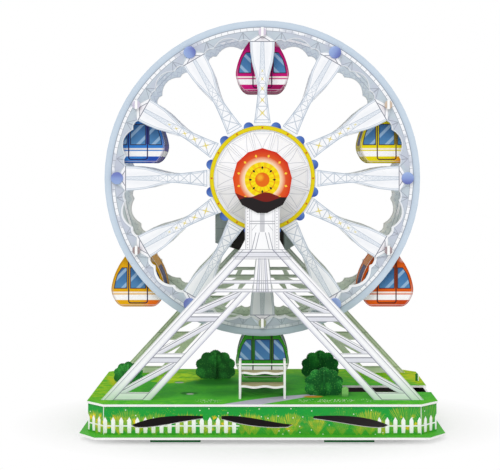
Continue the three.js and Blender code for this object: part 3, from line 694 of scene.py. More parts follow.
def wall_print(paint, along, z):
    """Meadow, tall grass, flowers and a picket fence, along a wall."""
    look = settings().base
    place = paint.point(along, z)
    patches = paint.noise(10, 3, place=place)
    speckle = paint.noise(1.6, 4, 0.7, place=place)
    ground = (patches.past(0.5, 0.2) * 0.5).mix(look.wall, tone(14, 150, 66))
    low = (-z + patches * 14).past(-4, 5)
    ground = (low * 0.8).mix(ground, speckle.mix(tone(24, 138, 34), tone(96, 190, 40)))
    tall = tuft(paint, along, z, 19, 15, 3) | tuft(paint, along, z, 27, 20, 11) * 0.9
    tall = tall * (1 - along.past(116, 5) * 0.65)
    short = tuft(paint, along, z, 11, 9, 29)
    splash = speckle.past(0.62, 0.04) * paint.noise(8, 1, place=place).past(0.54, 0.06) * 0.8
    warm = paint.noise(6, place=place)
    offset = (along % PICKET_PITCH) - PICKET_PITCH / 2
    tip = z + abs(offset) * 1.7
    taper = PICKET_HALF - ((12 - z) | 0) * 0.05
    stake = ~abs(offset).past(taper, 0.2) * ~tip.past(PICKET_TOP, 0.25)
    stake = stake * z.past(PICKET_FOOT, 0.3)
    rail = z.stripe(RAIL_HEIGHT, 0.6, 0.2)
    left = along.between(*FENCE_LEFT, 0.3)
    right = along.between(*FENCE_RIGHT, 0.3)
    fence = (stake | rail) * (left + right)
    ragged = paint.point(along + speckle * 7, z + paint.noise(1.3, 3, place=place) * 7)
    petals = paint.cells(6, dimensions="2D", place=ragged)
    clump = paint.noise(15, 1, place=paint.point(along, 0, 8)).past(0.55, 0.05)
    bloom = ~petals.past(0.27, 0.05) * (z + speckle * 6).between(14, 26, 1.5) * clump
    bloom = bloom * (1 - along.between(24, 64, 4) * 0.8)
    buds = paint.cells(9, dimensions="2D", place=place)
    bud_lot, _, _ = paint.parts(paint.cells(9, output=1, dimensions="2D", place=place))
    bud = ~buds.past(0.05, 0.02) * bud_lot.past(0.5, 0.02)
    flower = warm.past(0.5, 0.1).mix(look.flower, tone(238, 220, 20))
    mixed_grass = warm.past(0.52, 0.1).mix(tone(112, 184, 36), tone(206, 200, 40))
    return paint.layers(
        ground,
        (splash, warm.mix(tone(120, 200, 70), tone(190, 214, 60))),
        (tall * 0.9, warm.past(0.5, 0.1).mix(look.blade, tone(214, 204, 56))),
        (bloom * 0.9, flower),
        (fence, look.picket),
        (short * (0.6 - fence * 0.3), mixed_grass),
        (bud, tone(250, 252, 244)),
    )


def lawn_board(look):
    """The top plate: the garden above and the hollow's painted shade below."""
    paint = Paint("lawn_board")
    under, top = paint.sides(2)
    colour = top.mix(look.board.hollow, lawn_print(paint))
    return paint.board(colour, top + under, 0.25)


def plate_board(look):
    """The bottom plate: grass outside the walls and, inside them, the hollow's painted shade with its faint
    painted glow.
    """
    paint = Paint("plate_board")
    x, y, _ = paint.axes
    under, top = paint.sides(2)
    within = under_lawn(x, y)
    grassy = within.mix(grass(paint, tone(66, 176, 40), look.base.lawn), look.board.hollow)
    colour = top.mix(tone(236, 238, 234), grassy)
    return paint.board(colour, top + under, **hollow_glow(within * top))


def long_wall_board(look, name, side):
    """A long wall, its print laid out flat round the chamfers, with the hollow's painted shade and faint
    painted glow on its inner face.
    """
    paint = Paint(f"{name}_board")
    x, _, z = paint.axes
    inside, outward = paint.sides(1, 0.3)[::side]
    beyond = (abs(x) - WALL_STRAIGHT) | 0
    along = x + paint.maths("SIGN", x) * beyond * (CHAMFER_STRETCH - 1)
    printed = wall_print(paint, along, z)
    fold = abs(x).stripe(WALL_STRAIGHT, 0.35)
    shown = (fold * 0.9).mix(printed, look.board.foam)
    colour = outward.mix(look.board.hollow, shown)
    tab = (-z).past(-6.5, 0.1)
    colour = tab.mix(colour, tone(30, 120, 62))
    return paint.board(colour, abs(paint.facing[1]).past(0.3), **hollow_glow(inside * ~tab))


def end_wall_board(look):
    """An end wall, which shows the left stretch of the long walls' print, with the hollow's painted shade
    on its inner face.
    """
    paint = Paint("end_wall_board")
    x, y, z = paint.axes
    across, _, level = paint.facing
    outward = (across * paint.maths("SIGN", x)).past(0.3)
    colour = outward.mix(look.board.hollow, wall_print(paint, y - 60, z))
    return paint.board(colour, ~abs(level).past(0.5))


class KIT_OT_base(bpy.types.Operator):
    """Prints the plates and the walls of the base."""

    bl_idname = "wheel_kit.base"
    bl_label = "Base"

    def execute(self, context):
        look = settings()
        dress(lawn_board(look), "top_plate")
        dress(plate_board(look), "bottom_plate")
        for name, side in (("front_wall", -1), ("rear_wall", 1)):
            dress(long_wall_board(look, name, side), name)
        dress(end_wall_board(look), "left_wall", "right_wall")
        return {"FINISHED"}


TREES = ("left_tree", "right_rear_tree", "right_front_tree", "left_rear_tree")
TREE_LOBES = 7
LEAF_RIPPLES = 5
LOBE_DEPTH_SHARE = 0.11
RIPPLE_SHARE = 0.022
TREE_WAIST_SHARE = 0.36
TREE_HALF = 1
MILESTONE = ((71.8, 0), (77.6, 0), (77.6, 7.4), (76.6, 9), (74.8, 9.6), (72.9, 9), (71.8, 7.4))
MILESTONE_DEPTHS = (-48, -47)
PEG = ((148.6, 0), (151.8, 0), (151.8, 6), (150, 7.4), (148.6, 6.4))
PEG_FOLD = 150.9
PEG_DEPTHS = (19.5, 20.5)


def tree_outline(width, height, centre, foot):
    """A lobed crown with small leaves along its edge, standing on a flat foot."""
    waist = TREE_WAIST_SHARE * height
    crown = height - waist
    foot_angle = math.asin(waist / crown)
    steps = TREE_LOBES * LEAF_RIPPLES * 4
    points = []
    for index in range(steps + 1):
        share = index / steps
        turn = -foot_angle + (math.pi + 2 * foot_angle) * share
        lobe = abs(math.sin(math.pi * TREE_LOBES * share))
        ripple = abs(math.sin(math.pi * TREE_LOBES * LEAF_RIPPLES * share))
        reach = 1 - LOBE_DEPTH_SHARE * (1 - lobe) - RIPPLE_SHARE * (1 - ripple)
        x = centre + reach * math.cos(turn) * width / 2
        points.append((x, foot + max(waist + reach * math.sin(turn) * crown, 0)))
    points[0] = (points[0][0], foot)
    points[-1] = (points[-1][0], foot)
    return points


def make_posts():
    """A small milestone by the path and a peg at the right rear of the lawn."""
    paint = Paint("post_print")
    _, _, z = paint.axes
    colour = paint.noise(1.6, 3).mix(tone(96, 176, 72), tone(170, 214, 140))
    colour = ((-z).past(-LAWN_TOP - 2, 1.6) * 0.7).mix(colour, tone(40, 132, 40))
    stone = slab(moved(MILESTONE, (0, LAWN_TOP)), [], *MILESTONE_DEPTHS)
    piece("milestone", stone, paint.board(colour), "base", "tree_board", smooth=False)
    paint = Paint("peg_print")
    x, _, _ = paint.axes
    green = paint.noise(1.8, 3).mix(tone(12, 96, 30), tone(60, 140, 40))
    colour = x.past(PEG_FOLD).mix(green, tone(250, 250, 248))
    peg = slab(moved(PEG, (0, LAWN_TOP)), [], *PEG_DEPTHS)
    piece("lawn_peg", peg, paint.board(colour), "base", "tree_board", smooth=False)


def without_straights(points):
    """Leaves out the points that repeat the cut edge between its foot and its head."""
    rows = zip(points[-1:] + points, points, points[1:] + points[:1])
    return [here for before, here, after in rows if not before[0] == here[0] == after[0]]


def foliage():
    """Leaves in clumps, each with painted light from above and painted shade between them, darker at the
    foot, and painted light on the trees to the left.
    """
    look = settings().base
    paint = Paint("tree_print")
    x, _, z = paint.axes
    clumps = paint.noise(7, 3, 0.6)
    leaves = paint.cells(1.6)
    puffs = paint.cells(11) + clumps * 0.3
    # Painted light from above on each puff, and painted shade in the hollows between the puffs.
    above = paint.cells(11, place=paint.vector("ADD", paint.place, (1.4, 0, 3.6))) + clumps * 0.3
    lit = (above - puffs).past(0.06, 0.14)
    hollow = (puffs + leaves * 0.12).past(0.74, 0.1)
    rise = z.past(LAWN_TOP + 15, 14)
    colour = paint.layers(
        tone(20, 104, 42),
        (rise, look.leaf),
        (lit * (rise * 0.5 + 0.4), tone(66, 170, 72)),
        (hollow * 0.85, tone(10, 76, 32)),
        (leaves.past(0.5, 0.16) * 0.5, tone(16, 94, 36)),
        ((-leaves).past(-0.22, 0.08) * 0.5, tone(104, 190, 84)),
        # Painted light that brightens the trees on the left of the lawn.
        ((-x).past(0, 10) * 0.08, tone(112, 200, 104)),
    )
    height = leaves * 0.4 + clumps * 0.3
    return paint.finish(colour, 0.5 + clumps * 0.15, height, 0.3, 0.4, Specular_IOR_Level=BOARD_SHEEN)


class KIT_OT_trees(bpy.types.Operator):
    """Makes the lobed trees, each of two boards that cross, and the two small posts."""

    bl_idname = "wheel_kit.trees"
    bl_label = "Trees"

    def execute(self, context):
        make_posts()
        material = foliage()
        for name in TREES:
            low, high = millimetres(name)
            middle = (low + high) / 2
            size = high - low
            outline = tree_outline(size.x, size.z, middle.x, low.z)
            boards = [slab(outline, [], middle.y - TREE_HALF, middle.y + TREE_HALF)]
            outline = tree_outline(size.y, size.z, middle.y, low.z)
            for side in (-1, 1):
                arm = [(max(side * (y - middle.y), TREE_HALF) * side + middle.y, z) for y, z in outline]
                arm = without_straights(arm)
                boards.append(slab(arm, [], middle.x - TREE_HALF, middle.x + TREE_HALF, "YZ"))
            piece(f"{name}_boards", merge(*boards), material, "base", "tree_board", name, smooth=False)
        return {"FINISHED"}


# Frames and stairs
TOWER_HALF = 15.4
SHOULDER_HALF = 19.87
LEG_WIDTH = 44.5
OUTER_RAIL = 11.6
INNER_RAIL = 8
BRACE_HALF = 3
BAR_SHARES = {
    "foot": (0, 0.033),
    "lower": (0.168, 0.21),
    "middle": (0.353, 0.394),
    "upper": (0.486, 0.502),
    "truss": (0.525, 0.541),
    "shoulder": (0.635, 0.681),
}
BAYS = (("foot", "lower"), ("lower", "middle"), ("middle", "upper"))
FAN_TOP_SHARE = 0.36
FAN_FOOT_SHARE = 0.58
BAR_HEIGHTS = {
    name: (LAWN_TOP + low * AXIS_RISE, LAWN_TOP + high * AXIS_RISE)
    for name, (low, high) in BAR_SHARES.items()
}
SHOULDER_Z = BAR_HEIGHTS["shoulder"][1]
LEG_SPREAD = (FOOT_HALF - SHOULDER_HALF) / (SHOULDER_Z - LAWN_TOP)


def leg_edge(z):
    """How far out the legs reach at a height."""
    return (SHOULDER_Z - z) * LEG_SPREAD + SHOULDER_HALF


def frame_print(paint, x, z):
    """Tubes, braces and rivets printed on an A-frame, with a painted green reflection of the lawn at its
    foot.
    """
    aside = abs(x)
    inward = leg_edge(z) - aside
    on_legs = ~z.past(SHOULDER_Z, 0.2)
    below_fan = ~z.past(BAR_HEIGHTS["upper"][0], 0.2)
    in_rails = on_legs * inward.past(-1, 0.2)
    inner_start = LEG_WIDTH - INNER_RAIL
    outer_tube = inward.tube(3.6, OUTER_RAIL)
    inner_tube = inward.tube(inner_start, LEG_WIDTH) * below_fan
    tubes = (outer_tube | inner_tube) * in_rails
    lines = (
        inward.stripe(0.5, 0.3) * 0.45
        | inward.stripe(3.2, 0.34) * 0.8
        | inward.stripe(OUTER_RAIL - 0.5, 0.42)
        | inward.stripe(inner_start + 0.4, 0.42) * below_fan
        | inward.stripe(LEG_WIDTH - 0.4, 0.3) * below_fan * 0.6
    ) * in_rails
    across = inward.past(OUTER_RAIL, 0.2) * (1 - inward.past(inner_start, 0.2) * below_fan)
    bars = []
    shades = []
    for name, (low, high) in BAR_HEIGHTS.items():
        middle = (low + high) / 2
        ends = on_legs * ~aside.past(26, 0.3) if name == "shoulder" else across
        bars.append(z.stripe(high - 0.4, 0.3) * ends * 0.8)
        bars.append(z.stripe(low + 0.4, 0.3) * ends * 0.8)
        if name in ("lower", "middle"):
            bars.append(z.stripe(middle + 0.4, 0.5) * ends)
            shades.append(z.between(low, middle, 0.3) * ends * 0.6)
        if name == "shoulder":
            bars.append(z.stripe(high - 2.7, 0.34) * ends)
            bars.append(z.stripe(low + 2.2, 0.34) * ends)
            shades.append(z.between(low + 2.2, high - 2.7, 1.4) * ends * 0.5)
        if name in ("truss", "upper"):
            shades.append(z.between(low, middle, 0.3) * ends * 0.4)
    for under, over in BAYS:
        low = BAR_HEIGHTS[under][1]
        high = BAR_HEIGHTS[over][0]
        foot = leg_edge(low) - OUTER_RAIL
        head = leg_edge(high) - LEG_WIDTH + INNER_RAIL
        slope = (high - low) / (head - foot)
        above = z - (aside - foot) * slope - low
        bay = z.between(low, high, 0.2) * across
        bars.append(abs(above).stripe(BRACE_HALF - 0.3, 0.26) * bay * 0.7)
        bars.append(above.stripe(1.1, 0.4) * bay)
        shades.append(above.between(-BRACE_HALF, 0, 1.6) * bay * 0.7)
    fan_low = BAR_HEIGHTS["upper"][0]
    fan_high = BAR_HEIGHTS["shoulder"][0]
    fan_share = (z - fan_low) / (fan_high - fan_low)
    fan_half = (fan_share * (FAN_TOP_SHARE - FAN_FOOT_SHARE) + FAN_FOOT_SHARE) * TOWER_HALF
    fan_place = aside / fan_half
    in_fan = z.between(fan_low, fan_high + 1, 0.2)
    rays = [fan_place.stripe(share, 0.03, 0.03) for share in (0.1, 0.33, 0.6, 0.96)]
    fan = any_of(*rays) * in_fan
    shades.append(fan_place.between(0.33, 0.6, 0.05) * in_fan * 0.6)
    drawn = any_of(lines, *bars, fan)
    tower = tower_lines(paint, aside, z)
    # Painted green reflection of the lawn on the lowest part of the frame.
    lawn_reflection = (-z).past(-46, 9) * 0.45
    return paint.layers(
        tone(251, 251, 253),
        (any_of(tubes, *shades) * 0.85, tone(192, 194, 212)),
        (lawn_reflection, tone(196, 224, 196)),
        ((drawn | tower) * 0.9, settings().board.line),
    )


def tower_lines(paint, aside, z):
    """The riveted columns, cross lines and centre lattice of the tower."""
    tower = z.past(SHOULDER_Z, 0.2)
    top = AXIS_HEIGHT - 38
    columns = (
        aside.stripe(TOWER_HALF - 0.7, 0.22)
        | aside.stripe(TOWER_HALF - 4.2, 0.22)
        | aside.stripe(TOWER_HALF - 6, 0.2) * 0.6
    )
    rung = (z % 2.7) - 1.35
    rivets = paint.disc(aside, rung, (TOWER_HALF - 2.4, 0), 0.62, 0.2) * 0.6
    cross = z.stripe(top, 0.3) | z.stripe(top - 2.2, 0.3)
    cross = cross * ~aside.past(TOWER_HALF - 4.2, 0.1)
    column = ~aside.past(2.1) * z.past(top - 9.5, 0.2) * 0.5
    mesh = abs(((z + aside) % 2) - 1).stripe(0.5, 0.18) * column * 1.2
    leg = aside - (top - 10 - z) * 0.24 - 2.6
    legs = leg.stripe(0, 0.3) | leg.stripe(3.1, 0.3)
    legs = legs * ~z.past(top - 10, 0.2)
    strut = aside + (z - top + 3) * 0.8 - 3.2
    struts = strut.stripe(2, 0.26) * z.between(top - 9, top - 3, 0.2) * 0.8
    inside = ~aside.past(TOWER_HALF - 6, 0.1)
    return tower * (columns | rivets | cross | column | mesh | legs * inside | struts * inside)


def inner_frame_print(paint, x, z):
    """The inner face in painted shade: green towards the bottom, standing for light reflected from the
    lawn, and grey higher up, with darker lines along the rails and bars.
    """
    inward = leg_edge(z) - abs(x)
    edges = [inward.stripe(place, 0.5) for place in (1, 4.4, OUTER_RAIL - 1)]
    edges += [z.stripe(high - 0.8, 0.6) for _, high in BAR_HEIGHTS.values()]
    # Painted shade on the inner face: green below, reflected from the lawn, and grey above.
    tint = settings().board.inner
    rise = z.past(140, 26)
    clouds = paint.noise(14, 3, place=paint.stretched(1, 1, 1.6))
    green = (clouds.past(0.5, 0.2) * 0.6).mix(tint, tone(188, 204, 166))
    grey = clouds.mix(tone(228, 231, 229), tone(204, 210, 206))
    lines = rise.mix(tone(112, 130, 96), tone(132, 142, 136))
    return (any_of(*edges) * 0.5).mix(rise.mix(green, grey), lines)


class KIT_OT_frames(bpy.types.Operator):
    """Prints both A-frames."""

    bl_idname = "wheel_kit.frames"
    bl_label = "Frames"

    def execute(self, context):
        for name, side in (("front_frame", -1), ("rear_frame", 1)):
            paint = Paint(f"{name}_board")
            x, _, z = paint.axes
            inner = inner_frame_print(paint, x, z)
            dress(paint.upright_board(side, frame_print(paint, x, z), inner), name)
        return {"FINISHED"}


TREAD_STEPS = 48
TREAD_ROWS = 6
TREAD_WAVES = 2
TREAD_WAVE_HEIGHT = 0.55
RAIL_RADIUS = 0.55
RAIL_SEAT = 0.4
RAIL_PLACE = (-54.6, 64.1)


def wavy_board(low, high):
    """A board whose front edge rises and falls in shallow waves."""
    size = high - low
    rings = []
    for step in range(TREAD_STEPS + 1):
        share = step / TREAD_STEPS
        wave = math.sin(2 * math.pi * TREAD_WAVES * share + 0.8) * TREAD_WAVE_HEIGHT
        backs = [row / TREAD_ROWS for row in range(TREAD_ROWS + 1)]
        x = low.x + size.x * share
        under = [(x, low.y + size.y * back, low.z + wave * (1 - back) ** 2) for back in backs]
        rings.append(under + [(x, y, z + size.z) for _, y, z in reversed(under)])
    return skin(rings)


def tread_print():
    """Worn planks on a tread, and its pale edges."""
    paint = Paint("tread_print")
    x, y, _ = paint.axes
    under, top = paint.sides(2, 0.6)
    planks = paint.noise(1.4, 3, place=paint.point(x * 0.12, y))
    boards = planks.mix(tone(206, 194, 150), tone(164, 158, 112))
    gaps = (y % 4.2).stripe(2.1, 0.22)
    printed = (gaps * 0.5).mix(boards, tone(120, 110, 80))
    return paint.board(top.mix(tone(232, 232, 226), printed), top + under)


def stair_side_board():
    """The white side of the stairs, printed with a lattice."""
    paint = Paint("stair_side_board")
    _, y, z = paint.axes
    lattice = ((y + z) % 9).stripe(4.5, 0.3) | ((y - z) % 9).stripe(4.5, 0.3)
    printed = (lattice * 0.6).mix(tone(248, 248, 250), settings().board.line)
    return paint.board(printed, abs(paint.facing[0]).past(0.5))


def make_rail():
    """The thin rail between the sides of the stairs."""
    left = millimetres("stair_left_side")[1].x - RAIL_SEAT
    right = millimetres("stair_right_side")[0].x + RAIL_SEAT
    paint = Paint("rail_paint")
    coat = paint.noise(2, 3)
    colour = (coat * 0.3).mix(tone(250, 250, 250), tone(226, 226, 230))
    material = paint.finish(colour, 0.4 + coat * 0.1, coat, 0.1, 0.1)
    rail = slab(circle(RAIL_RADIUS, RAIL_PLACE, 12), [], left, right, "YZ")
    piece("stair_rail", rail, material, "base", "frame_board")


class KIT_OT_stairs(bpy.types.Operator):
    """Makes the wavy treads and the rail, and whitens the side boards."""

    bl_idname = "wheel_kit.stairs"
    bl_label = "Stairs"

    def execute(self, context):
        dress(stair_side_board(), "stair_left_side", "stair_right_side")
        wood = tread_print()
        for name in ("stair_lower_tread", "stair_upper_tread"):
            piece(f"{name}_board", wavy_board(*millimetres(name)), wood, "base", "frame_board", name)
        make_rail()
        return {"FINISHED"}


# Wheel: rims, spokes, hub ring, cone and the rods between the rims
RIM_CORNER = RIM_RADIUS - 19.6
RIM_SCALLOP = RIM_RADIUS - 12.6
RIM_WEB = RIM_RADIUS - 10
RIM_BAND = (RIM_RADIUS - 9.3, RIM_RADIUS - 6.7)
STRUT_SHARE = 0.255
BRACKET_TIP = 131.6
BRACKET_SLOPE = 0.61
SPOKE_START = 50.5
SPOKE_END_HALF = 11.4
SPOKE_SHARES = (
    (0.39, 0.7),
    (0.43, 0.65),
    (0.53, 0.49),
    (0.61, 0.4),
    (0.66, 0.38),
    (0.74, 0.53),
    (0.83, 0.81),
    (0.92, 0.96),
    (1, 1),
)
# Stretches of the scallops: where each starts and ends, and how far out it starts, bulges and ends
SCALLOP_STRETCH_SHARES = ((0.16, 0.31, 0, 0.4, 0.225), (0.31, 0.69, 0.225, 1, 0.225))
CELL_START = 98.5
COLUMN_HALF = 2.3
COLUMN_SPREAD = 0.097
HUB_RING_RADIUS = 48.3
HUB_RING_WIDTH = 3.8
LOBE_RADIUS = 4.6


def scallop_share(share):
    """How far the rim's inner edge is let out, at a share of the way between two spokes."""
    for start, end, low, crest, high in SCALLOP_STRETCH_SHARES:
        if start <= share <= end:
            t = (share - start) / (end - start)
            bulge = (crest - (low + high) / 2) * 4 * t * (1 - t)
            return low + (high - low) * t + bulge
    return 0


class WheelPlace:
    """Where a point lies on the wheel: round it, and along and across its nearest spoke."""

    def __init__(self, paint):
        x, _, z = paint.axes
        up = z - AXIS_HEIGHT
        self.radius = paint.length(x, up)
        self.angle = paint.maths("ARCTAN2", up, x)
        self.count = paint.maths("FLOOR", self.angle / PITCH + 0.5)
        self.turn = self.angle - self.count * PITCH
        self.along = self.radius * paint.maths("COSINE", self.turn)
        self.across = self.radius * paint.maths("SINE", self.turn)
        self.aside = abs(self.across)
        self.carries = self.count % 2
        self.up = up


def spoke_half(along):
    """Half a spoke's width, along it."""
    return (along / RIM_CORNER).curve(SPOKE_SHARES, "CARDINAL") * SPOKE_END_HALF


def spoke_print(paint):
    """White trusses with pale borders, crossed cells and a bracket at each rim, with painted shade that
    greys the lowest spokes.
    """
    look = settings().wheel
    place = WheelPlace(paint)
    inward = spoke_half(place.along) - place.aside
    arm = place.along.between(SPOKE_START, RIM_CORNER, 0.2)
    borders = (inward.stripe(0.5, 0.28) | inward.stripe(2, 0.2) * 0.8) * arm
    reach = CELL_START - place.along
    spread = reach | 0
    narrow = reach & 0
    column = spread * COLUMN_SPREAD + narrow * 0.035 + COLUMN_HALF
    cells = (paint.maths("SQRT", spread * 3 + 44.2) - 6.65) / 1.5 + narrow / 5.5
    cell = paint.maths("FRACT", cells + 0.5) - 0.5
    sideways = place.aside / column
    in_column = ~sideways.past(1, 0.04)
    outer = place.along.past(97, 8)
    cross = (abs(cell) * 2).stripe(sideways, 0.09, 0.05) * in_column
    rungs = abs(cell).stripe(0.5, 0.03, 0.02) * in_column
    rails = place.aside.stripe(column, 0.24)
    trussed = place.along.between(54, RIM_CORNER, 0.3)
    truss = (cross * 0.8 | rungs * 0.9) * (1 - outer * 0.3)
    truss = (truss | rails * 0.9) * trussed
    ends = place.along.stripe(SPOKE_START + 0.4, 0.3) | place.along.stripe(SPOKE_START + 3.1, 0.3)
    ends = ends * ~(-inward).past(-0.6, 0.2)
    heart = (abs(cell) * 2).stripe(sideways, 0.12, 0.06) * ~sideways.past(0.3, 0.1)
    heart = heart * place.carries * place.along.between(55, 102, 0.3)
    tint = inward.between(0.7, 2, 0.2) * arm * 0.45
    tint = tint | in_column * outer * 0.5 * trussed
    fold = place.aside.stripe(column + 2.2, 1.6, 1.4) * outer * trussed * 0.12
    chord = place.along.stripe(RIM_CORNER, 0.36) * ~place.aside.past(11.3, 0.2)
    leg = (place.along - BRACKET_TIP + place.aside * BRACKET_SLOPE) / 1.17
    outside = place.along.past(RIM_CORNER + 0.4)
    legs = leg.stripe(1.4, 0.2) * 0.35 | leg.stripe(-1.3, 0.3)
    legs = legs * outside
    beyond = leg.past(1.5, 0.2) * outside
    bracket = outside * ~leg.past(-1.3, 0.2)
    # Painted shadow beside the pin, in the bracket of each spoke that carries a cabin.
    pin_shadow = paint.disc(place.across, place.along, (0, RIM_CORNER + 5.4), 2.6, 1.6) * place.carries * bracket
    hub = ~place.radius.past(SPOKE_START - 1, 0.3)
    # Painted shade: the spokes near the bottom of the wheel are greyer and darker.
    sideways_place = abs(place.radius * paint.maths("COSINE", place.angle))
    low = (-place.up).past(74, 26) * ~sideways_place.past(30, 30)
    lines = low.mix(look.truss, tone(136, 150, 156))
    paper = (low * 0.85).mix(look.paper, tone(188, 194, 192))
    return paint.layers(
        paper,
        (fold, tone(196, 206, 222)),
        (tint, low.mix(tone(212, 223, 236), tone(150, 162, 166))),
        (beyond, look.web),
        ((borders | truss | ends) * 0.92, lines),
        (heart, look.cross),
        (bracket * 0.6, tone(238, 234, 240)),
        (pin_shadow * 0.5, tone(150, 130, 150)),
        (chord | legs, look.chord),
        (hub, tone(236, 240, 245)),
    )


def rim_print(paint):
    """A pale tube outside, a white band in short lengths and a web of struts inside, with a painted
    highlight along the scallop edges and painted shade towards the bottom of the wheel.
    """
    look = settings().wheel
    place = WheelPlace(paint)
    share = abs(place.turn) / PITCH
    inward = place.radius - scallop_edge(share)
    tube = place.radius.past(RIM_RADIUS - 5.8, 0.2)
    shade = abs(place.radius - RIM_RADIUS + 2.2) / 3.4
    blotch = paint.noise(7, place=paint.point(place.angle * 60, place.radius * 0.6))
    gap = blotch.past(0.56, 0.03)
    in_band = place.radius.between(*RIM_BAND, 0.2)
    band = in_band * (1 - gap * 0.75)
    outer_line = place.radius.stripe(RIM_RADIUS - 6.2, 0.26)
    inner_line = place.radius.stripe(RIM_BAND[0] - 0.2, 0.22) * (1 - gap * 0.6)
    ticks = ((place.angle * 23) % 1).stripe(0.5, 0.035, 0.03) * in_band
    # Painted highlight: the white border along the scallop edge grows wider and stronger towards the bottom
    # of the wheel.
    underside = (-place.up).past(30, 40)
    into_border = inward - underside * 1.3
    border = ~into_border.past(1, 0.2) * (underside * 0.6 + 0.35)
    border_line = into_border.stripe(1.35, 0.2) * (underside * 0.6 + 0.4)
    strut_place = abs(share - STRUT_SHARE) * 66 - (RIM_WEB - place.radius) * 0.72
    strut = strut_place.stripe(0, 0.3) * place.radius.past(RIM_CORNER + 2, 0.3)
    post = share.stripe(STRUT_SHARE, 0.006, 0.004)
    struts = (strut | post) * ~place.radius.past(RIM_WEB, 0.2)
    mottle = paint.noise(7, 3)
    patch = blotch.past(0.5, 0.12)
    # Painted shade: darker towards the bottom of the wheel, darkest at its lowest stretch.
    shade_below = (-place.up).past(118, 22) * 0.5 | (-place.up).past(139, 5) * 0.72
    return paint.layers(
        look.web,
        (mottle * 0.55, tone(184, 197, 210)),
        (patch * 0.5, tone(196, 196, 216)),
        (tube, look.rim),
        (tube * ((shade * shade) & 1) * 0.55, tone(176, 193, 212)),
        (struts * 0.6, look.chord),
        (band, look.paper),
        (ticks * 0.7, look.chord),
        (border, look.paper),
        (border_line * 0.6, tone(150, 160, 174)),
        ((outer_line | inner_line * 0.8) * 0.9, tone(128, 136, 150)),
        (shade_below, tone(122, 142, 136)),
    )


def scallop_edge(share):
    """The radius of a rim's inner edge, at a share of the way from one spoke to the next."""
    stops = [(step / 30, scallop_share(step / 60)) for step in range(9, 31, 2)]
    reach = (share * 2).curve([(0, 0), *stops])
    return reach * (RIM_SCALLOP - RIM_CORNER) + RIM_CORNER


def inner_rim_print(paint):
    """The inner face of a rim in painted shade: blue-grey at the top and green-grey at the bottom, with
    struts.
    """
    look = settings().wheel
    place = WheelPlace(paint)
    share = abs(place.turn) / PITCH
    inward = place.radius - scallop_edge(share)
    clouds = paint.noise(8, 3)
    blotch = paint.noise(6, place=paint.point(place.angle * 60, place.radius * 0.6))
    # Painted shade: from blue-grey at the top to green-grey towards the bottom.
    shade_below = (-place.up).past(60, 75)
    high = clouds.mix(tone(218, 229, 237), tone(197, 210, 223))
    deep = clouds.mix(tone(208, 220, 200), tone(176, 192, 168))
    ground = shade_below.mix(high, deep)
    dashes = place.radius.stripe(RIM_RADIUS - 8, 1) * ~blotch.past(0.5, 0.04)
    zigzag = abs(((place.angle * 24) % 1) - 0.5) * 7
    zigzags = (inward - zigzag).stripe(1.4, 0.45)
    edge = inward.stripe(0.5, 0.5)
    outer = place.radius.stripe(RIM_RADIUS - 6.4, 0.3)
    band = outer | place.radius.stripe(RIM_RADIUS - 9.6, 0.3)
    border = ~inward.past(2.6, 1.6) * (-place.up).past(-20, 40)
    return paint.layers(
        ground,
        (dashes * 0.8, look.paper),
        (zigzags * 0.4, shade_below.mix(tone(150, 158, 190), tone(108, 128, 104))),
        (border * 0.7, shade_below.mix(tone(252, 253, 253), tone(222, 232, 214))),
        (edge * 0.3, shade_below.mix(tone(170, 178, 190), tone(120, 138, 116))),
        (band * 0.55, shade_below.mix(tone(140, 152, 172), tone(86, 106, 90))),
    )


def inner_spoke_print(paint):
    """The inner face of the spoked sheets in painted shade, green-grey towards the bottom, with the lines
    of their trusses.
    """
    place = WheelPlace(paint)
    clouds = paint.noise(16, 3)
    # Painted shade: from near white at the top to green-grey towards the bottom.
    shade_below = (-place.up).past(60, 70)
    high = clouds.mix(tone(242, 245, 249), tone(226, 232, 240))
    ground = shade_below.mix(high, clouds.mix(tone(216, 224, 212), tone(194, 205, 190)))
    inward = spoke_half(place.along) - place.aside
    lines = inward.stripe(0.9, 0.3) | place.aside.stripe(2.6, 0.3)
    return (lines * 0.4).mix(ground, shade_below.mix(tone(176, 186, 202), tone(120, 138, 120)))


def cone_board():
    """Twelve panels, each with a sill and a triangle that points inwards."""
    paint = Paint("hub_cone_board")
    place = WheelPlace(paint)
    depth = paint.facing[1]
    fold = abs(place.turn) / (PITCH / 2)
    inward = (44.2 - place.along) / 21
    joints = fold.stripe(1, 0.03, 0.02) * 0.9
    sill = place.along.stripe(41.2, 0.2) * ~fold.past(0.8, 0.02)
    second = place.along.stripe(39.9, 0.16) * ~fold.past(0.74, 0.02) * 0.6
    sides = fold.stripe(0.8, 0.022, 0.02) * place.along.between(26, 41.3, 0.3) * 0.8
    triangle = fold - (1 - inward * 1.15) * 0.82
    slopes = triangle.stripe(0, 0.03, 0.025) * inward.between(0.13, 0.86, 0.02)
    lines = joints | sill | second | sides | slopes
    clouds = paint.noise(12)
    ground = (clouds * 0.3).mix(tone(255, 254, 255), tone(242, 240, 244))
    shade = (place.across * 0.3 - place.up).past(12, 26) * 0.4
    ground = shade.mix(ground, tone(214, 208, 212))
    printed = (lines * 0.75).mix(ground, tone(172, 176, 186))
    outside = (-depth).past(0.25)
    printed = outside.mix(tone(226, 230, 235), printed)
    return paint.board(printed, abs(depth).past(0.01, 0.005))


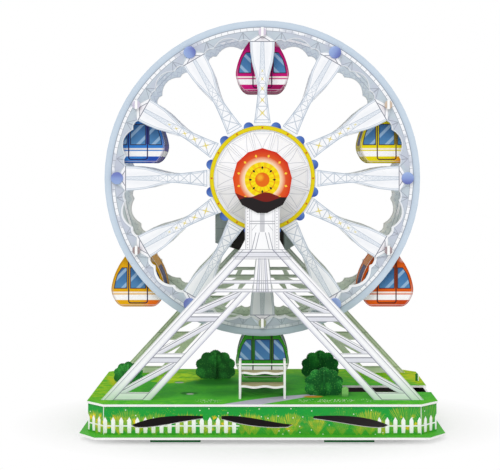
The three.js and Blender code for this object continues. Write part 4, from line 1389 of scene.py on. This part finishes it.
def make_hub_ring():
    """The yellow ring with its twelve half-round lobes."""
    look = settings().wheel
    low, high = millimetres("front_hub_ring")
    outline = []
    half = math.asin(LOBE_RADIUS / HUB_RING_RADIUS)
    for index in range(SPOKES):
        turn = (index + 0.5) * PITCH
        middle = (HUB_RING_RADIUS * math.cos(turn), HUB_RING_RADIUS * math.sin(turn) + AXIS_HEIGHT)
        outline += circle(LOBE_RADIUS, middle, 18, turn - math.pi / 2, math.pi)
        outline += circle(HUB_RING_RADIUS, (0, AXIS_HEIGHT), 5, turn + half, PITCH - 2 * half)[1:-1]
    inner = circle(HUB_RING_RADIUS - HUB_RING_WIDTH, (0, AXIS_HEIGHT), 96)
    ring = slab(outline, [inner], low.y, high.y)
    paint = Paint("hub_ring_board")
    place = WheelPlace(paint)
    lobes = place.radius.past(HUB_RING_RADIUS - 0.1, 0.12)
    gap_turn = ((place.angle / PITCH) % 1 - 0.5) * PITCH
    shade = (gap_turn * -HUB_RING_RADIUS).past(0.5, 4)
    edge = place.radius.past(HUB_RING_RADIUS + 3, 1.4) * 0.6
    blue = (shade | edge).mix(look.lobe, tone(52, 78, 160))
    dots = paint.disc(place.across, place.along, (0, HUB_RING_RADIUS - 1.9), 0.85, 0.35)
    rim_shade = place.radius.stripe(HUB_RING_RADIUS - HUB_RING_WIDTH / 2, 1.2, 1)
    yellow = rim_shade.mix(tone(214, 190, 4), look.hub)
    printed = paint.layers(yellow, (dots, look.dot), (lobes, blue))
    material = paint.upright_board(-1, printed, tone(236, 238, 240))
    piece("hub_ring", ring, material, "wheel", "hub_ring_board", "front_hub_ring")


WHEEL_PRINTS = (("rim", rim_print, inner_rim_print), ("spokes", spoke_print, inner_spoke_print))


class KIT_OT_wheel(bpy.types.Operator):
    """Prints the rims, the spoked sheets and the hub cone, and makes the hub ring."""

    bl_idname = "wheel_kit.wheel"
    bl_label = "Wheel"

    def execute(self, context):
        for side_name, side in (("front", -1), ("rear", 1)):
            for kind, outside, inside in WHEEL_PRINTS:
                paint = Paint(f"{side_name}_{kind}_board")
                board = paint.upright_board(side, outside(paint), inside(paint))
                dress(board, f"{side_name}_{kind}")
        dress(cone_board(), "hub_cone")
        make_hub_ring()
        return {"FINISHED"}


def rounded_end(radius, face, inside, crown, edge):
    """Half of a turned profile: a crowned face with a rounded edge. face is its outermost y."""
    way = 1 if inside > face else -1
    points = [(0, face)]
    points += [(radius * share, face + way * crown * share**2) for share in (0.35, 0.6, 0.8)]
    for step in range(5):
        turn = math.pi / 2 * step / 4
        points.append((
            radius - edge + edge * math.sin(turn),
            face + way * (crown + edge * (1 - math.cos(turn))),
        ))
    return [*points, (radius, inside)]


def mirrored(front):
    """A turned profile that has one end in front and the same end behind."""
    return [*front, *((radius, -depth) for radius, depth in reversed(front))]


CAP_RADIUS = 5.6
SPACER_RADIUS = 2.4
PIN_RADIUS = 1.6
PIN_EDGE = 0.3
CAP_CROWN = 0.35
CAP_EDGE = 0.6
AXLE_RADIUS = 3
AXLE_EDGE = 0.4
COLLAR_RADIUS = 6
COLLAR_EDGE = 0.4
COLLAR_DEPTHS = ((-56.6, -54.2), (52.2, 54.6))
DOWEL_CROWN = 0.05
END_LENGTH = 2


def make_axle(wood):
    """The axle with its two collars."""
    low, high = millimetres("axle")
    front = rounded_end(AXLE_RADIUS, low.y, low.y + END_LENGTH, DOWEL_CROWN, AXLE_EDGE)
    back = rounded_end(AXLE_RADIUS, high.y, high.y - END_LENGTH, DOWEL_CROWN, AXLE_EDGE)[::-1]
    collars = []
    for near, far in COLLAR_DEPTHS:
        collars += [
            (AXLE_RADIUS, near),
            (COLLAR_RADIUS - COLLAR_EDGE, near),
            (COLLAR_RADIUS, near + COLLAR_EDGE),
            (COLLAR_RADIUS, far - COLLAR_EDGE),
            (COLLAR_RADIUS - COLLAR_EDGE, far),
            (AXLE_RADIUS, far),
        ]
    axle = turned([*front, *collars, *back], (0, AXIS_HEIGHT))
    piece("axle_dowel", axle, wood, "wheel", "dowel_wood", "axle")


def dowel():
    """Plain wood whose grain runs along the rod."""
    paint = Paint("dowel_wood")
    rings = paint.noise(0.8, 4, 0.6, place=paint.stretched(1, 0.08, 1))
    fleck = paint.noise(0.5, place=paint.stretched(3, 0.3, 3))
    colour = rings.mix(tone(196, 158, 108), tone(150, 108, 66))
    colour = (fleck * 0.25).mix(colour, tone(112, 76, 44))
    return paint.finish(colour, 0.62 + rings * 0.1, rings, 0.3, 0.15)


def cap_plastic():
    """Blue plastic that goes from a light side to a dark one."""
    look = settings().wheel
    paint = Paint("cap_plastic")
    place = WheelPlace(paint)
    shade = (-place.across).past(-0.6, 4.6)
    colour = shade.mix(tone(150, 174, 220), look.cap)
    colour = ((-place.across).past(3, 3) * 0.8).mix(colour, tone(84, 92, 168))
    orange_peel = paint.noise(0.9)
    return paint.finish(colour, 0.28 + orange_peel * 0.06, orange_peel, 0.08, 0.1)


class KIT_OT_rods(bpy.types.Operator):
    """Makes the round spacers, the cabin pins and the axle."""

    bl_idname = "wheel_kit.rods"
    bl_label = "Rods"

    def execute(self, context):
        plastic = cap_plastic()
        wood = dowel()
        for number in range(1, 7):
            name = f"rim_spacer_{number}"
            low, high = millimetres(name)
            seat = low.y + END_LENGTH
            front = rounded_end(CAP_RADIUS, low.y, seat, CAP_CROWN, CAP_EDGE)
            shape = turned(mirrored([*front, (SPACER_RADIUS, seat)]), middle_of(low, high), 48)
            piece(f"spacer_{number}", shape, plastic, "wheel", "cap_plastic", name)
        for colour in CABIN_NAMES:
            name = f"{colour}_cabin_pin"
            low, _ = millimetres(name)
            front = rounded_end(PIN_RADIUS, low.y, low.y + END_LENGTH, DOWEL_CROWN, PIN_EDGE)
            shape = turned(mirrored(front), joint_place(f"{colour}_cabin_swing"), 24)
            piece(f"{colour}_pin", shape, wood, "wheel", "dowel_wood", name)
        make_axle(wood)
        return {"FINISHED"}


# Disc and drive
LOZENGE_RADIUS = 21.6
DART_PITCH = math.pi / 4


def disc_board():
    """A plain sun with lozenges round it, over two hills."""
    paint = Paint("front_disc_board")
    x, _, z = paint.axes
    up = z - AXIS_HEIGHT + 1
    radius = paint.length(x, up)
    angle = paint.maths("ARCTAN2", up, x)
    edge_glow = radius.past(21.5, 7)
    warm = (-up - x * 0.5).past(8, 16)
    rim = warm.mix(tone(204, 14, 18), tone(222, 64, 8))
    ground = edge_glow.mix(tone(236, 110, 40), rim)
    glow = ~radius.past(18.6, 2.2)
    sun = ~radius.past(15.6, 0.25)
    rays = paint.maths("COSINE", angle * 16)
    ray_reach = (-rays + radius * 0.09).past(1.15, 0.25)
    hills = paint.maths("SINE", x * 0.2 + 0.9) * 2.2
    ground_hill = (-up + hills).past(13.4, 0.2)
    near_hill = (-up - hills * 0.9).past(17.6, 0.2)
    dart_turn = abs(((angle / DART_PITCH + 0.5) % 1 - 0.5) * DART_PITCH * 11)
    darts = (1.7 - dart_turn * 1.6).past(abs(radius - 10.6), 0.2) * sun
    lozenge_turn = ((angle / PITCH) % 1 - 0.5) * PITCH * LOZENGE_RADIUS
    lozenge = (abs(lozenge_turn) * 1.3 + abs(radius - LOZENGE_RADIUS)).past(1.5)
    ringed = radius.stripe(11.2, 0.35) * 0.9
    centre = ~radius.past(6.4, 0.25)
    printed = paint.layers(
        ground,
        (glow * 0.85, tone(252, 232, 196)),
        (~lozenge, tone(250, 206, 60)),
        (sun, tone(248, 226, 4)),
        (sun * ray_reach * 0.6, tone(242, 184, 10)),
        (ringed, tone(226, 120, 22)),
        (darts, tone(40, 26, 24)),
        (centre, tone(230, 108, 16)),
        (paint.disc(x, up, (-2, 2), 2.6, 1.4), tone(246, 176, 40)),
        (ground_hill, tone(120, 28, 20)),
        (near_hill, tone(30, 24, 26)),
    )
    return paint.upright_board(-1, printed, tone(238, 238, 236))


class KIT_OT_disc(bpy.types.Operator):
    """Prints the round board on the tower with a sunburst."""

    bl_idname = "wheel_kit.disc"
    bl_label = "Disc"

    def execute(self, context):
        dress(disc_board(), "front_disc")
        return {"FINISHED"}


KNOB_BORE = 1.9
KNOB_SHARES = ((0.9, 0.12), (0.84, 0.3), (0.86, 0.5), (0.94, 0.7), (1, 0.84), (0.97, 0.93))


def box_board():
    """Grey board with dark seams, and near-black painted shadow where its front face lies behind the tower
    and the hub.
    """
    paint = Paint("drive_box_board")
    x, _, z = paint.axes
    depth = paint.facing[1]
    clouds = paint.noise(20, 3)
    colour = clouds.mix(tone(136, 148, 148), tone(156, 168, 164))
    # Painted shadow on the front face, behind the tower and the hub.
    dark = x.between(-31, 21.5, 1)
    colour = (dark * (-depth).past(0.5)).mix(colour, tone(36, 34, 34))
    seams = (z % 24).stripe(12, 0.3) | (x % 31).stripe(15.5, 0.3)
    colour = (seams * 0.4).mix(colour, tone(58, 72, 70))
    return paint.board(colour)


def moulded(name, light, dark, roughness):
    """Moulded plastic with a slight flow of tone."""
    paint = Paint(name)
    flow = paint.noise(6, 3)
    texture = paint.noise(0.4)
    colour = flow.mix(light, dark)
    return paint.finish(colour, roughness + texture * 0.12, texture, 0.15, 0.1)


def make_knob():
    """The waisted grip on the crank."""
    low, high = millimetres("crank_knob")
    radius = (high.x - low.x) / 2
    length = high.y - low.y
    profile = [
        (KNOB_BORE, low.y),
        (radius * 0.92, low.y),
        (radius, low.y + 0.6),
        *((radius * share, low.y + length * along) for share, along in KNOB_SHARES),
        (radius * 0.8, high.y),
        (KNOB_BORE, high.y),
        (KNOB_BORE, low.y),
    ]
    material = moulded("knob_plastic", tone(212, 58, 44), tone(190, 42, 34), 0.3)
    grip = turned(profile, middle_of(low, high))
    piece("knob_grip", grip, material, "knob", "knob_plastic", "crank_knob")


class KIT_OT_drive(bpy.types.Operator):
    """Finishes the drive box, the gears, the crank and its knob."""

    bl_idname = "wheel_kit.drive"
    bl_label = "Drive"

    def execute(self, context):
        dress(box_board(), "drive_box", "drive_box_cover")
        gears = moulded("gear_plastic", tone(216, 178, 62), tone(192, 150, 44), 0.5)
        dress(gears, "drive_gear", "crank_pinion")
        crank = moulded("crank_plastic", tone(74, 84, 96), tone(60, 68, 80), 0.46)
        dress(crank, "crank_arm")
        make_knob()
        return {"FINISHED"}


# Cabins: two printed panels and a folded shell each
CABIN_SHARES = (
    (0, 0.09),
    (0.19, 0.075),
    (0.35, 0.01),
    (0.5, -0.12),
    (0.7, -0.26),
    (0.89, -0.45),
    (1, -0.66),
    (0.97, -0.79),
    (0.84, -0.91),
    (0.7, -0.975),
    (0.57, -1),
)
CABIN_HANG = 52.6
CABIN_HALF = 24.6
WINDOW_HEAD = -17
WINDOW_SILL = -35.2
DOOR_HALF = 8.7
DOOR_LINE = 0.55
DOOR_FOOT = -49.2
DOOR_CORNER = 2
STRIPE = (-46.4, -41.4)
PANEL_THICKNESS = 2
SHELL_INSET = 0.6
SHELL_WALL = 1.8
PIN_HOLE = 2.1
HANGER_STRIP = ((-1.2, -3.4), (1.2, -3.4), (1.2, 5), (-1.2, 5))
HANGER_FLAP = (
    (-1.8, -2.8),
    (1.8, -2.8),
    (3.4, -1.2),
    (3.4, 2.2),
    (2.2, 4),
    (-2.2, 4),
    (-3.4, 2.2),
    (-3.4, -1.2),
)
HANGER_SEAT = 35.1
FLAP_OUTSIDE = 35.5
STRIP_OUTSIDE = 35.9
# The flap colour of each cabin is painted shade beside its hanger, darkest for the gold, green and orange
# cabins.
CABIN_TONES = {
    "yellow": ((232, 216, 0), (140, 126, 0), (238, 156, 14), (76, 36, 44), (204, 188, 16), (196, 170, 140)),
    "magenta": ((198, 0, 116), (116, 0, 66), (154, 0, 84), (62, 0, 54), (156, 0, 84), (208, 194, 216)),
    "blue": ((50, 126, 206), (40, 30, 112), (36, 78, 176), (34, 26, 86), (54, 34, 138), (198, 190, 214)),
    "gold": ((230, 170, 0), (142, 102, 8), (232, 108, 14), (44, 36, 66), (226, 162, 20), (132, 106, 104)),
    "green": ((44, 146, 30), (56, 96, 14), (36, 122, 26), (34, 46, 36), (52, 112, 28), (110, 128, 56)),
    "orange": ((222, 92, 6), (150, 60, 6), (196, 66, 4), (66, 20, 24), (222, 142, 66), (132, 102, 106)),
}
TONE_NAMES = ("body", "shade", "accent", "line", "fold", "flap")
STREAK_LEANS = {"magenta": 1, "green": 1}


def cabin_tones(colour):
    """A cabin's six colours by name."""
    return {name: tone(*levels) for name, levels in zip(TONE_NAMES, CABIN_TONES[colour])}


def cabin_half_outline(inset=0):
    """Half of a cabin's outline from its top to its floor, moved inwards by an inset."""
    points = smooth_curve([(share * CABIN_HALF, drop * CABIN_HANG) for share, drop in CABIN_SHARES], 5)
    half = []
    for index, point in enumerate(points):
        before = points[max(index - 1, 0)]
        after = points[min(index + 1, len(points) - 1)]
        run = Vector((after[0] - before[0], after[1] - before[1])).normalized()
        if index == 0:
            run = Vector((1, 0))
        half.append((point[0] + run.y * inset, point[1] - run.x * inset))
    if inset:
        floor = points[-1][1] + inset
        half = [(x, max(z, floor)) for x, z in half]
    return half


def cabin_outline(pivot, inset=0):
    """A whole cabin outline round its pivot."""
    half = cabin_half_outline(inset)
    left = [(-x, z) for x, z in half[1:]]
    return moved([*half, *reversed(left)], pivot)


def cabin_windows(aside, z, half):
    """Masks of a cabin's windows, and of the dark frames round them."""
    upright = z.between(WINDOW_SILL, WINDOW_HEAD, 0.2)
    framed = z.between(WINDOW_SILL - 0.8, WINDOW_HEAD + 0.8, 0.2)
    slope = half - aside - ((z + 22) | 0) * 0.22
    side = aside.past(10.6, 0.2) * slope.past(3.1, 0.2)
    side_frame = aside.past(9.8, 0.2) * slope.past(2.3, 0.2)
    middle = ~aside.past(6.7, 0.2)
    middle_frame = ~aside.past(7.4, 0.2)
    return (side + middle) * upright, (side_frame + middle_frame) * framed


def make_hangers(colour, pivot, body, slot):
    """White strips and small flaps on the ends of the pin, in front and behind."""
    boards = [
        slab(moved(outline, pivot), [], *sorted((HANGER_SEAT * side, outside * side)))
        for outline, outside in ((HANGER_STRIP, STRIP_OUTSIDE), (HANGER_FLAP, FLAP_OUTSIDE))
        for side in (-1, 1)
    ]
    piece(f"{colour}_hangers", merge(*boards), hanger_board(colour), body, slot, smooth=False)


def hanger_board(colour):
    """White outside, and behind it the flap in painted shade, tinted by its cabin and darker on the cabins
    that hang lowest at rest.
    """
    paint = Paint(f"{colour}_hanger_board")
    _, y, _ = paint.axes
    grain = paint.noise(1.2, 3)
    flap = (grain * 0.4).mix(cabin_tones(colour)["flap"], tone(250, 246, 250))
    printed = abs(y).past((FLAP_OUTSIDE + STRIP_OUTSIDE) / 2, 0.05).mix(flap, tone(253, 253, 253))
    return paint.board(printed)


def panel_board(colour, pivot):
    """The printed face of a cabin: windows, door, stripes and edge lines."""
    tones = cabin_tones(colour)
    paint = Paint(f"{colour}_panel_board")
    x, _, z = paint.axes
    x = x - pivot[0]
    z = z - pivot[1]
    aside = abs(x)
    half = (-z / CABIN_HANG).curve(shape_stops()) * CABIN_HALF
    glass, frames = cabin_windows(aside, z, half)
    slant = (x * STREAK_LEANS.get(colour, -1) + z) % 14.2
    streak = slant.between(5.4, 9.2, 0.4)
    depth = z.past(-30, 12)
    pane = paint.layers(
        tone(86, 142, 190),
        (depth * 0.75, tone(46, 92, 150)),
        (streak * 0.6, tone(178, 208, 234)),
    )
    door_sides = aside.stripe(DOOR_HALF, DOOR_LINE) * z.between(DOOR_FOOT + 1.6, -10, 0.2)
    corner_x = (aside - DOOR_HALF + DOOR_CORNER) | 0
    corner_z = (DOOR_FOOT + DOOR_CORNER - z) | 0
    corner = paint.length(corner_x, corner_z).stripe(DOOR_CORNER, DOOR_LINE)
    corner = corner * ~z.past(DOOR_FOOT + DOOR_CORNER, 0.1)
    door = door_sides | corner * ~aside.past(DOOR_HALF + 0.4, 0.1)
    pillars = x.between(7.2, 10, 0.2) * z.past(WINDOW_SILL, 0.2)
    rim_shade = ~(half - aside).past(1.3, 1) * (-z).past(12, 2)
    low_shade = ~z.past(-CABIN_HANG + 1.6, 1)
    trim = (half - aside).stripe(1.2, 0.3) | z.stripe(-CABIN_HANG + 1.6, 0.35)
    trim = trim * (-z).past(34, 6)
    accent = (-z).past(46.6, 0.5) * x.past(7, 4)
    roof = z.past(-11, 5)
    glare = paint.disc(x, z, (15, -9), 3, 2, 1.6) * 0.5
    printed = paint.layers(
        tones["body"],
        (accent, tones["accent"]),
        (roof * 0.45, tones["shade"]),
        (glare, tone(255, 240, 240)),
        (pillars * 0.75, tones["shade"]),
        (z.between(-40.4, -38.7) * 0.85, tone(250, 244, 236)),
        (z.between(*STRIPE), tone(252, 251, 252)),
        ((rim_shade | low_shade) * 0.55, tones["shade"]),
        (trim * 0.5, tone(226, 212, 224)),
        (frames, tone(52, 36, 52)),
        (glass, pane),
        (door, tones["line"]),
    )
    return paint.board(printed, abs(paint.facing[1]).past(0.5))


def shape_stops():
    """The cabin's half width at heights from its pivot down to its floor."""
    outline = cabin_half_outline()
    stops = []
    for step in range(25):
        drop = -CABIN_HANG * step / 24
        for upper, lower in zip(outline, outline[1:]):
            if upper[1] >= drop >= lower[1] and upper[1] > lower[1]:
                share = (upper[1] - drop) / (upper[1] - lower[1])
                width = upper[0] + (lower[0] - upper[0]) * share
                stops.append((step / 24, width / CABIN_HALF))
                break
    return stops


def shell_board(colour, pivot):
    """The curved side of a cabin, with a dark window strip."""
    tones = cabin_tones(colour)
    paint = Paint(f"{colour}_shell_board")
    _, y, z = paint.axes
    z = z - pivot[1]
    aside = abs(y)
    window = z.between(WINDOW_SILL, WINDOW_HEAD, 0.3) * ~aside.past(12, 0.3)
    framed = z.between(WINDOW_SILL - 0.9, WINDOW_HEAD + 0.9, 0.3)
    framed = framed * ~aside.past(13, 0.3)
    streak = ((y + z) % 15).between(6, 9, 0.4)
    pane = paint.layers(tone(40, 44, 96), (streak * 0.25, tone(130, 158, 196)))
    bead = aside.stripe(18.4, 0.5)
    stripe = z.between(*STRIPE, 0.2)
    fold = paint.noise(9, place=paint.point(0, y * 0.1, z))
    printed = paint.layers(
        (fold * 0.5).mix(tones["fold"], tones["shade"]),
        (stripe, tone(246, 244, 246)),
        (framed, tones["line"]),
        (window, pane),
        (bead * 0.6, blend(0.6, tones["body"], tone(214, 208, 214))),
    )
    return paint.board(printed)


class KIT_OT_cabins(bpy.types.Operator):
    """Makes the six cabins and the white hangers on their pins."""

    bl_idname = "wheel_kit.cabins"
    bl_label = "Cabins"

    def execute(self, context):
        for colour in CABIN_NAMES:
            pivot = joint_place(f"{colour}_cabin_swing")
            front = millimetres(f"{colour}_cabin_front")[0].y
            body = f"{colour}_cabin"
            slot = f"{colour}_cabin_board"
            panel = panel_board(colour, pivot)
            hole = circle(PIN_HOLE, pivot, 24)
            for side_name, side in (("front", 1), ("rear", -1)):
                depths = sorted((front * side, (front + PANEL_THICKNESS) * side))
                shape = slab(cabin_outline(pivot), [hole], *depths)
                piece(f"{colour}_{side_name}_panel", shape, panel, body, slot, f"{body}_{side_name}")
            reach = -front - PANEL_THICKNESS
            inner = cabin_outline(pivot, SHELL_INSET + SHELL_WALL)
            shape = slab(cabin_outline(pivot, SHELL_INSET), [inner], -reach, reach)
            shell = shell_board(colour, pivot)
            piece(f"{colour}_folded_shell", shape, shell, body, slot, f"{body}_shell")
            make_hangers(colour, pivot, body, slot)
        return {"FINISHED"}


def key_lamp(scene, look):
    """The soft lamp, above the camera and to its left."""
    light = bpy.data.lights.new("key", "SUN")
    light.energy = look.key
    light.angle = look.key_softness
    key = bpy.data.objects.new("key", light)
    key.rotation_euler = [math.radians(angle) for angle in KEY_ANGLES]
    scene.collection.objects.link(key)


def surroundings(scene, look):
    """An even pale light that shows plain white behind the object."""
    paint = Paint("surroundings", "worlds")
    strength = paint.seen_rays() * (1 - look.sky) + look.sky
    sky = paint.add("ShaderNodeBackground", inputs={"Color": (1, 1, 1), "Strength": strength})
    paint.add("ShaderNodeOutputWorld", inputs={0: sky})
    scene.world = paint.material


def make_floor(scene, look):
    """A wide round floor that takes the shadow."""
    rim = circle(look.floor_radius * PER_MM, sides=64)
    mesh = mesh_of("floor", ([(x, y, 0) for x, y in rim], [range(len(rim))]), floor_paint(look))
    floor = bpy.data.objects.new("floor", mesh)
    scene.collection.objects.link(floor)


def floor_paint(look):
    """White paper that goes over to plain white away from the object."""
    paint = Paint("floor_paper")
    x, y, _ = paint.axes
    far = paint.length(x * 0.9, y * 1.5)
    fade = paint.add(
        "ShaderNodeMapRange",
        inputs={0: far, 1: look.fade_start * PER_MM, 2: look.fade_end * PER_MM},
    )
    paper = paint.add("ShaderNodeBsdfDiffuse", inputs={0: (0.97, 0.97, 0.97)})
    white = paint.add("ShaderNodeEmission", inputs={0: (1, 1, 1), 1: 1})
    glow = (fade * 0.65 + 0.35) * paint.seen_rays()
    mixed = paint.add("ShaderNodeMixShader", inputs={0: glow, 1: paper, 2: white})
    paint.add("ShaderNodeOutputMaterial", inputs={0: mixed})
    return paint.material


class KIT_OT_stage(bpy.types.Operator):
    """Sets the camera, the lamp, the floor and the pale surroundings."""

    bl_idname = "wheel_kit.stage"
    bl_label = "Stage"

    def execute(self, context):
        look = settings().stage
        scene = context.scene
        scene.view_settings.view_transform = "Standard"
        lens = bpy.data.cameras.new("camera")
        lens.lens = look.lens
        lens.sensor_width = look.sensor
        lens.shift_x = look.shift_x
        lens.shift_y = look.shift_y
        camera = bpy.data.objects.new("camera", lens)
        camera.location = (look.aside, -look.distance, look.height)
        camera.rotation_euler = (math.pi / 2, 0, 0)
        scene.collection.objects.link(camera)
        scene.camera = camera
        key_lamp(scene, look)
        surroundings(scene, look)
        make_floor(scene, look)
        return {"FINISHED"}


class KIT_PT_panel(bpy.types.Panel):
    """Lists the steps that dress the model."""

    bl_idname = "KIT_PT_panel"
    bl_label = "Wheel Kit"
    bl_space_type = "VIEW_3D"
    bl_region_type = "UI"
    bl_category = "Wheel Kit"

    def draw(self, context):
        for step in STEPS:
            self.layout.operator(step.bl_idname)


STEPS = (
    KIT_OT_stage,
    KIT_OT_base,
    KIT_OT_trees,
    KIT_OT_frames,
    KIT_OT_stairs,
    KIT_OT_wheel,
    KIT_OT_rods,
    KIT_OT_disc,
    KIT_OT_drive,
    KIT_OT_cabins,
)
CLASSES = (BoardSettings, WheelSettings, BaseSettings, StageSettings, KitSettings, *STEPS, KIT_PT_panel)


def register():
    """Registers the classes and the scene's settings."""
    for cls in CLASSES:
        bpy.utils.register_class(cls)
    bpy.types.Scene.wheel_kit = PointerProperty(type=KitSettings)


def unregister():
    """Takes the settings and the classes away again."""
    del bpy.types.Scene.wheel_kit
    for cls in reversed(CLASSES):
        bpy.utils.unregister_class(cls)


def main():
    """Registers the add-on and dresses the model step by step."""
    register()
    for step in STEPS:
        group, name = step.bl_idname.split(".")
        getattr(getattr(bpy.ops, group), name)()


if __name__ == "__main__":
    main()
